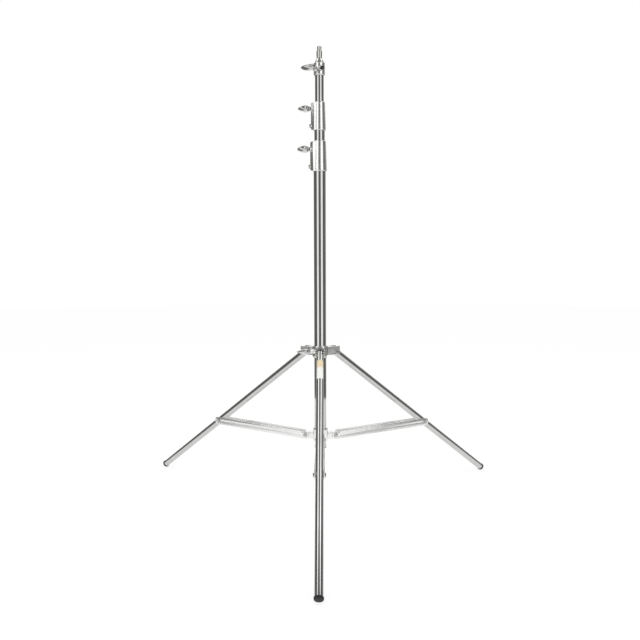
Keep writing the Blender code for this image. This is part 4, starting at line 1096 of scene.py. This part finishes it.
def finish_legs():
    pipe = leg_tube_shape()
    bush = sleeve_shape(LEG_BUSH_RADIUS, EAR_INSIDE - GAP)
    # The sleeve clears the slot in the brace's back as the stand folds.
    sleeve = sleeve_shape(TIP_SLEEVE_RADIUS, LEG_RADIUS + SLOT_SIDE_CLEARANCE - GAP)
    plug = foot_plug_shape(leg_place("front"))
    for name in LEGS:
        place = leg_place(name)
        finished(name + "_leg_tube", pipe, place)
        finished(name + "_foot_plug", plug, place)
        finished(name + "_leg_bush", bush, place)
        finished(name + "_brace_sleeve", sleeve, place @ offset(BRACE_PIVOT_ON_LEG))
    finished("leg_label", label_shape(), leg_place("front"))


# Braces


def rivet_shape():
    half = BRACE_OUTSIDE + GAP
    end = half + RIVET_HEAD
    head = [(0, end)]
    for i in range(1, RIVET_HEAD_STEPS):
        angle = pi / 2 * i / RIVET_HEAD_STEPS
        head.append((RIVET_HEAD_RADIUS * sin(angle), half + RIVET_HEAD * cos(angle)))
    head += [(RIVET_HEAD_RADIUS, half), (RIVET_RADIUS, half)]
    lower = [(radius, -height) for radius, height in reversed(head)]
    return along_y(turned(head + lower))


def brace_shape():
    """An upside-down channel from its fixed pivot at zero out to the leg."""
    half_width = BRACE_OUTSIDE - BRACE_WALL / 2
    half_height = BRACE_HEIGHT / 2
    back = half_height - BRACE_WALL / 2
    corner_y = half_width - BRACE_BACK_ROUND
    corner_z = back - BRACE_BACK_ROUND
    profile = [(-half_width, -half_height)]
    profile += arc((-corner_y, corner_z), BRACE_BACK_ROUND, pi, pi / 2, 2 * CORNER_STEPS)
    profile += arc((corner_y, corner_z), BRACE_BACK_ROUND, pi / 2, 0, 2 * CORNER_STEPS)
    profile += [(half_width, -half_height)]
    margin = BRACE_END_ROUND + OVERRUN
    bm = bmesh.new()
    line = [bm.verts.new((-margin, y, z)) for y, z in profile]
    edges = [bm.edges.new(pair) for pair in zip(line, line[1:])]
    drawn = bmesh.ops.extrude_edge_only(bm, edges=edges)["geom"]
    far_side = [item for item in drawn if isinstance(item, bmesh.types.BMVert)]
    bmesh.ops.translate(bm, vec=(BRACE_LENGTH + 2 * margin, 0, 0), verts=far_side)
    bmesh.ops.recalc_face_normals(bm, faces=bm.faces)
    skin = {"thickness": BRACE_WALL, "offset": 0, "use_even_offset": True}
    channel = modified(mesh_of(bm), "SOLIDIFY", **skin)
    edge = BRACE_END_HALF_ANGLE
    clear = 2 * BRACE_HEIGHT
    shoulder = BRACE_END_ROUND * cos(edge)
    outline = [(BRACE_LENGTH + shoulder, -clear)]
    outline += arc((BRACE_LENGTH, 0), BRACE_END_ROUND, -edge, edge, 4 * CORNER_STEPS)
    outline += [(BRACE_LENGTH + shoulder, clear), (-shoulder, clear)]
    outline += arc((0, 0), BRACE_END_ROUND, pi - edge, pi + edge, 4 * CORNER_STEPS)
    outline += [(-shoulder, -clear)]
    channel = common(channel, upright_plate(outline, 4 * BRACE_OUTSIDE))
    side = 2 * BRACE_OUTSIDE
    slot_side = LEG_RADIUS + SLOT_SIDE_CLEARANCE
    over_lug = box((-side, -side, half_height - BRACE_CORNER_DROP), (BRACE_BACK_START, side, side))
    over_leg = box((BRACE_SLOT_START, -slot_side, 0), (BRACE_LENGTH + side, slot_side, side))
    over_leg = bevelled(over_leg, slot_side / 2)
    fixed_hole = cross_rod(RIVET_RADIUS + GAP, side)
    tip_hole = cross_rod(PIVOT_BOLT_RADIUS + GAP, side, BRACE_LENGTH)
    return bevelled(cut(channel, over_lug, over_leg, fixed_hole, tip_hole), BRACE_EDGE, 2)


def tip_bolt_shape():
    """Head and short shank of the brace's outer bolt, along X from the ear's inner face."""
    shank = cylinder(PIVOT_BOLT_RADIUS, GAP / 2, BRACE_WALL + TIP_HEAD / 2)
    start = BRACE_WALL + GAP
    return along_x(joined(hexagon(TIP_HEAD_RADIUS, start, start + TIP_HEAD), shank))


def finish_braces():
    channel = brace_shape()
    rivet = rivet_shape()
    bolt = tip_bolt_shape()
    for name in LEGS:
        place = joint_place(name + "_brace_turn", BRACE_RISE, -1)
        finished(name + "_brace", channel, place)
        level = place @ Matrix.Rotation(BRACE_RISE, 4, "Y")
        finished(name + "_brace_rivet", rivet, level)
        for side, sign in (("near", -1), ("far", 1)):
            ear = offset(BRACE_LENGTH, sign * BRACE_INSIDE)
            turn = Matrix.Rotation(sign * pi / 2, 4, "Z")
            finished(f"{name}_tip_bolt_{side}", bolt, place @ ear @ turn)


# Ring castings


def spoke_azimuth(name):
    x, y, _ = JOINTS[name + "_leg_turn"]["axis"]
    return azimuth_of(y, -x)


def three_ears(outline, half_width, pin_radius, pivot):
    """A plate towards each leg, and the holes for their pins."""
    plates = []
    holes = []
    for azimuth in map(spoke_azimuth, LEGS):
        plates.append(about_z(upright_plate(outline, 2 * half_width), azimuth))
        hole = cross_rod(pin_radius + GAP, half_width + OVERRUN, *pivot)
        holes.append(about_z(hole, azimuth))
    return plates, holes


def finish_leg_collar():
    """The sliding casting: a ring, three pairs of ears and the boss of its clamp."""
    height = height_of("leg_collar")
    middle = height / 2
    pivot = (AXIS.y - JOINTS["front_leg_turn"]["pos_m"][1], LEG_COLLAR_BELOW_PIVOT)
    clamp_turn = handle_azimuth("leg_collar")
    ear_bottom = pivot[1] - EAR_NOSE
    ear_top = ear_bottom + EAR_HEIGHT
    ear_end = pivot[0] + EAR_NOSE
    inner = COLUMN_RADIUS / 2
    outline = [(inner, ear_bottom)]
    outline += arc(pivot, EAR_NOSE, -pi / 2, 0, 2 * CORNER_STEPS)
    corner = (ear_end - EAR_CORNER, ear_top - EAR_CORNER)
    outline += arc(corner, EAR_CORNER, 0, pi / 2, CORNER_STEPS)
    outline += [(inner, ear_top)]
    joins, holes = three_ears(outline, EAR_OUTSIDE, PIVOT_BOLT_RADIUS, pivot)
    low = (EAR_ROOT_RADIUS, -EAR_INSIDE, -OVERRUN)
    high = (ear_end + OVERRUN, EAR_INSIDE, height + OVERRUN)
    slots = [about_z(box(low, high), spoke_azimuth(name)) for name in LEGS]
    joins.append(spoke_rod(CLAMP_BOSS_RADIUS, inner, LEG_BOSS_REACH, middle, clamp_turn))
    passage = shifted(clamp_passage(COLUMN_RADIUS, LEG_BOSS_REACH), z=middle)
    holes.append(about_z(passage, clamp_turn))
    bore = cylinder(COLUMN_RADIUS + GAP, -OVERRUN, height + OVERRUN, TUBE_STEPS)
    ring = drum(COLUMN_RADIUS + LEG_COLLAR_WALL, height, RING_CHAMFER, CASTING_STEPS)
    casting = cut(as_cast(cut(joined(ring, *joins), *slots)), bore, *holes)
    finished("leg_collar", casting, on_axis(bottom("leg_collar")))
    finish_clamp("leg_collar", LEG_BOSS_REACH, COLUMN_RADIUS)


def finish_leg_pivots():
    shank = 2 * EAR_OUTSIDE + 2 * GAP + PIVOT_NUT + PIVOT_BOLT_END
    threaded = PIVOT_NUT + PIVOT_BOLT_END
    bolt = hexagon_bolt(PIVOT_BOLT_RADIUS, shank, PIVOT_HEAD_RADIUS, PIVOT_HEAD, threaded)
    bore = cylinder(PIVOT_BOLT_RADIUS + GAP, -OVERRUN, PIVOT_NUT + OVERRUN)
    nut = along_x(cut(hexagon(PIVOT_HEAD_RADIUS, 0, PIVOT_NUT, both_ends=True), bore))
    for name in LEGS:
        place = joint_place(name + "_leg_turn", 0.0)
        head = offset(y=EAR_OUTSIDE + GAP) @ Matrix.Rotation(pi / 2, 4, "Z")
        tail = offset(y=-EAR_OUTSIDE - GAP) @ Matrix.Rotation(-pi / 2, 4, "Z")
        finished(name + "_leg_pivot_bolt", bolt, place @ head)
        finished(name + "_leg_pivot_nut", nut, place @ tail)


def finish_base_collar():
    """The fixed casting: a ring with three lugs that the braces straddle."""
    height = height_of("base_collar")
    middle = height / 2
    outer = COLUMN_RADIUS + BASE_COLLAR_WALL
    inner = COLUMN_RADIUS / 2
    pivot = (AXIS.y - JOINTS["front_brace_turn"]["pos_m"][1], BASE_COLLAR_BELOW_PIVOT)
    outline = [(inner, pivot[1] - LUG_NOSE)]
    outline += arc(pivot, LUG_NOSE, -pi / 2, pi / 2, 4 * CORNER_STEPS)
    outline += [(inner, pivot[1] + LUG_NOSE)]
    joins, holes = three_ears(outline, BRACE_INSIDE - GAP, RIVET_RADIUS, pivot)
    bolt_hole = (SET_BOLT_RADIUS + GAP, inner, outer + OVERRUN, middle, BASE_BOLT_AZIMUTH)
    holes.append(spoke_rod(*bolt_hole))
    bore = cylinder(COLUMN_RADIUS + GAP, -OVERRUN, height + OVERRUN, TUBE_STEPS)
    ring = drum(outer, height, RING_CHAMFER, CASTING_STEPS)
    casting = cut(as_cast(joined(ring, *joins)), bore, *holes)
    base = bottom("base_collar")
    finished("base_collar", casting, on_axis(base))
    finish_set_bolt("base_set_bolt", COLUMN_RADIUS, outer, base + middle, BASE_BOLT_AZIMUTH)


# Stage


def stage_object(name, mesh, material):
    obj = new_object(mesh, name)
    mesh.materials.append(material)
    return obj


def panel(name, rims, start, end, material):
    """A panel round the column, between two rims of a radius and a height.

    Azimuths are measured from the camera's side. Only the metal sees the panel.
    """
    steps = WALL_STEPS if rims[0][0] == rims[1][0] else LEVEL_STEPS
    angles = [radians(start + (end - start) * i / steps) for i in range(steps + 1)]
    rows = []
    for radius, height in rims:
        rows.append([(AXIS.x + radius * sin(a), AXIS.y - radius * cos(a), height) for a in angles])
    obj = stage_object(name, mesh_of(sheet(rows)), material)
    obj.visible_camera = False
    obj.visible_diffuse = False
    obj.visible_transmission = False
    obj.visible_volume_scatter = False
    obj.visible_shadow = False


def glowing(name, colour, strength=1.0):
    material, tree, shader = start_material(name, colour, 0.5)
    tree.nodes.remove(shader)
    glow = add_node(tree, "ShaderNodeEmission", Color=colour, Strength=strength)
    tree.links.new(glow.outputs[0], tree.nodes["Material Output"].inputs["Surface"])
    return material


def seen_directly_or_in_metal(tree):
    """1 for rays from the camera and for reflected or refracted rays, 0 for the rest."""
    rays = add_node(tree, "ShaderNodeLightPath").outputs
    direct = calculated(tree, "MAXIMUM", rays["Is Camera Ray"], rays["Is Glossy Ray"])
    return calculated(tree, "MAXIMUM", direct, rays["Is Transmission Ray"])


def mix_into(output, tree, share, *shaders):
    """Sends two shaders, mixed by a share of 0 to 1, to the tree's output."""
    mix = add_node(tree, "ShaderNodeMixShader")
    for socket, value in zip(mix.inputs, (share, *[shader.outputs[0] for shader in shaders])):
        feed(tree, socket, value)
    tree.links.new(mix.outputs[0], tree.nodes[output].inputs["Surface"])


def make_world():
    """White to the eye and in the metal, softer as a light."""
    world = bpy.data.worlds.new("studio")
    bpy.context.scene.world = world
    world.use_nodes = True
    tree = world.node_tree
    light = tree.nodes["Background"]
    set_up(tree, light, Color=(1, 1, 1, 1), Strength=BACKDROP_LIGHT)
    white = add_node(tree, "ShaderNodeBackground", Color=(1, 1, 1, 1), Strength=1.0)
    mix_into("World Output", tree, seen_directly_or_in_metal(tree), light, white)


def make_floor():
    """White paper: part of its white is set for the eye, so that shadows stay faint."""
    material, tree, paper = start_material("white_paper_floor", "#fafafa", 0.9)
    set_up(tree, paper, Specular_IOR_Level=0.0)
    glow = add_node(tree, "ShaderNodeEmission", Strength=FLOOR_GLOW)
    share = calculated(tree, "MULTIPLY", seen_directly_or_in_metal(tree), FLOOR_GLOW_SHARE)
    mix_into("Material Output", tree, share, paper, glow)
    bm = bmesh.new()
    bmesh.ops.create_circle(bm, cap_ends=True, segments=CASTING_STEPS, radius=FLOOR_RADIUS)
    stage_object("floor", mesh_of(bm), material)


def add_lamp(name, place, size):
    data = bpy.data.lights.new(name, "AREA")
    data.shape = "RECTANGLE"
    data.size, data.size_y = size
    data.energy = LAMP_POWER
    lamp = new_object(data, name)
    lamp.location = place
    aim = Vector((AXIS.x, AXIS.y, LAMP_AIM)) - Vector(place)
    lamp.rotation_euler = aim.to_track_quat("-Z", "Y").to_euler()
    lamp.visible_glossy = False


def make_stage():
    """Panels stand round the stand as in a studio, and only the metal sees them."""
    make_world()
    make_floor()
    dark = glowing("dark_flag", "#70706e")
    grey = glowing("ceiling", "#959593")
    wall_grey = glowing("side_wall", "#aaaaa8")
    bright = glowing("soft_box", "#ffffff", 1.35)
    over_bright = glowing("overhead_soft_box", "#ffffff", 2.1)
    wall = ((PANEL_REACH, 0.0), (PANEL_REACH, CEILING))
    middle = ((0.0, CEILING), (MIDDLE_REACH, CEILING))
    overhead = ((MIDDLE_REACH, CEILING), (PANEL_REACH + PANEL_OVERLAP, CEILING))
    low_ring = ((MIDDLE_REACH, FLOOR_FLAG_HEIGHT), (PANEL_REACH, FLOOR_FLAG_HEIGHT))
    panel("camera_flag", wall, -23, 20, dark)
    panel("soft_box_left", wall, -58, -23, bright)
    panel("soft_box_right", wall, 20, 57, bright)
    panel("flag_left", wall, -138, -58, dark)
    panel("wall_left", wall, -168, -138, wall_grey)
    panel("flag_right", wall, 57, 114, dark)
    panel("wall_right", wall, 114, 168, wall_grey)
    panel("over_left", overhead, -120, -60, over_bright)
    panel("over_right", overhead, 60, 120, over_bright)
    panel("over_front", overhead, -60, 60, dark)
    panel("over_back", overhead, 120, 240, dark)
    panel("over_middle", middle, 0, 360, grey)
    panel("floor_flag", low_ring, -168, 168, dark)
    add_lamp("key_left", (-2.2, -2.2, 2.4), (1.8, 2.2))
    add_lamp("key_right", (2.2, -2.2, 2.4), (1.8, 2.2))
    add_lamp("over", (0, 0.4, 3.6), (3.0, 3.0))


def make_camera():
    data = bpy.data.cameras.new("camera")
    data.lens = CAMERA_LENS
    data.shift_x = CAMERA_SHIFT
    camera = new_object(data, "camera")
    away = Vector((sin(CAMERA_ORBIT), -cos(CAMERA_ORBIT), 0)) * CAMERA_DISTANCE
    camera.matrix_world = (
        Matrix.Translation(AXIS + away + Vector((0, 0, CAMERA_HEIGHT)))
        @ Matrix.Rotation(CAMERA_HEADING, 4, "Z")
        @ Matrix.Rotation(pi / 2 - CAMERA_PITCH, 4, "X")
        @ Matrix.Rotation(CAMERA_ROLL, 4, "Z")
    )
    bpy.context.scene.camera = camera


for existing in list(bpy.data.objects):
    if existing.type in ("LIGHT", "CAMERA"):
        bpy.data.objects.remove(existing, do_unlink=True)

make_camera()
WING_HANDLE = wing_handle()
finish_tube("column_tube", COLUMN_RADIUS, COLUMN_WALL)
finish_tube("riser_1_tube", RISER_1_RADIUS, RISER_WALL)
finish_tube("riser_2_tube", RISER_2_RADIUS, RISER_WALL)
finish_end_plug()
finish_clamp_collar("column", COLUMN_RADIUS, RISER_1_RADIUS)
finish_clamp_collar("riser_1", RISER_1_RADIUS, RISER_2_RADIUS)
finish_top_casting()
finish_stud()
finish_legs()
finish_braces()
finish_leg_collar()
finish_leg_pivots()
finish_base_collar()
for node in ("riser_1_guide", "riser_2_guide"):
    mesh = frame["nodes"][node].data
    mesh.materials.clear()
    mesh.materials.append(FINISHES[SLOT_OF[node]])
make_stage()
bpy.context.scene.view_settings.view_transform = "Standard"
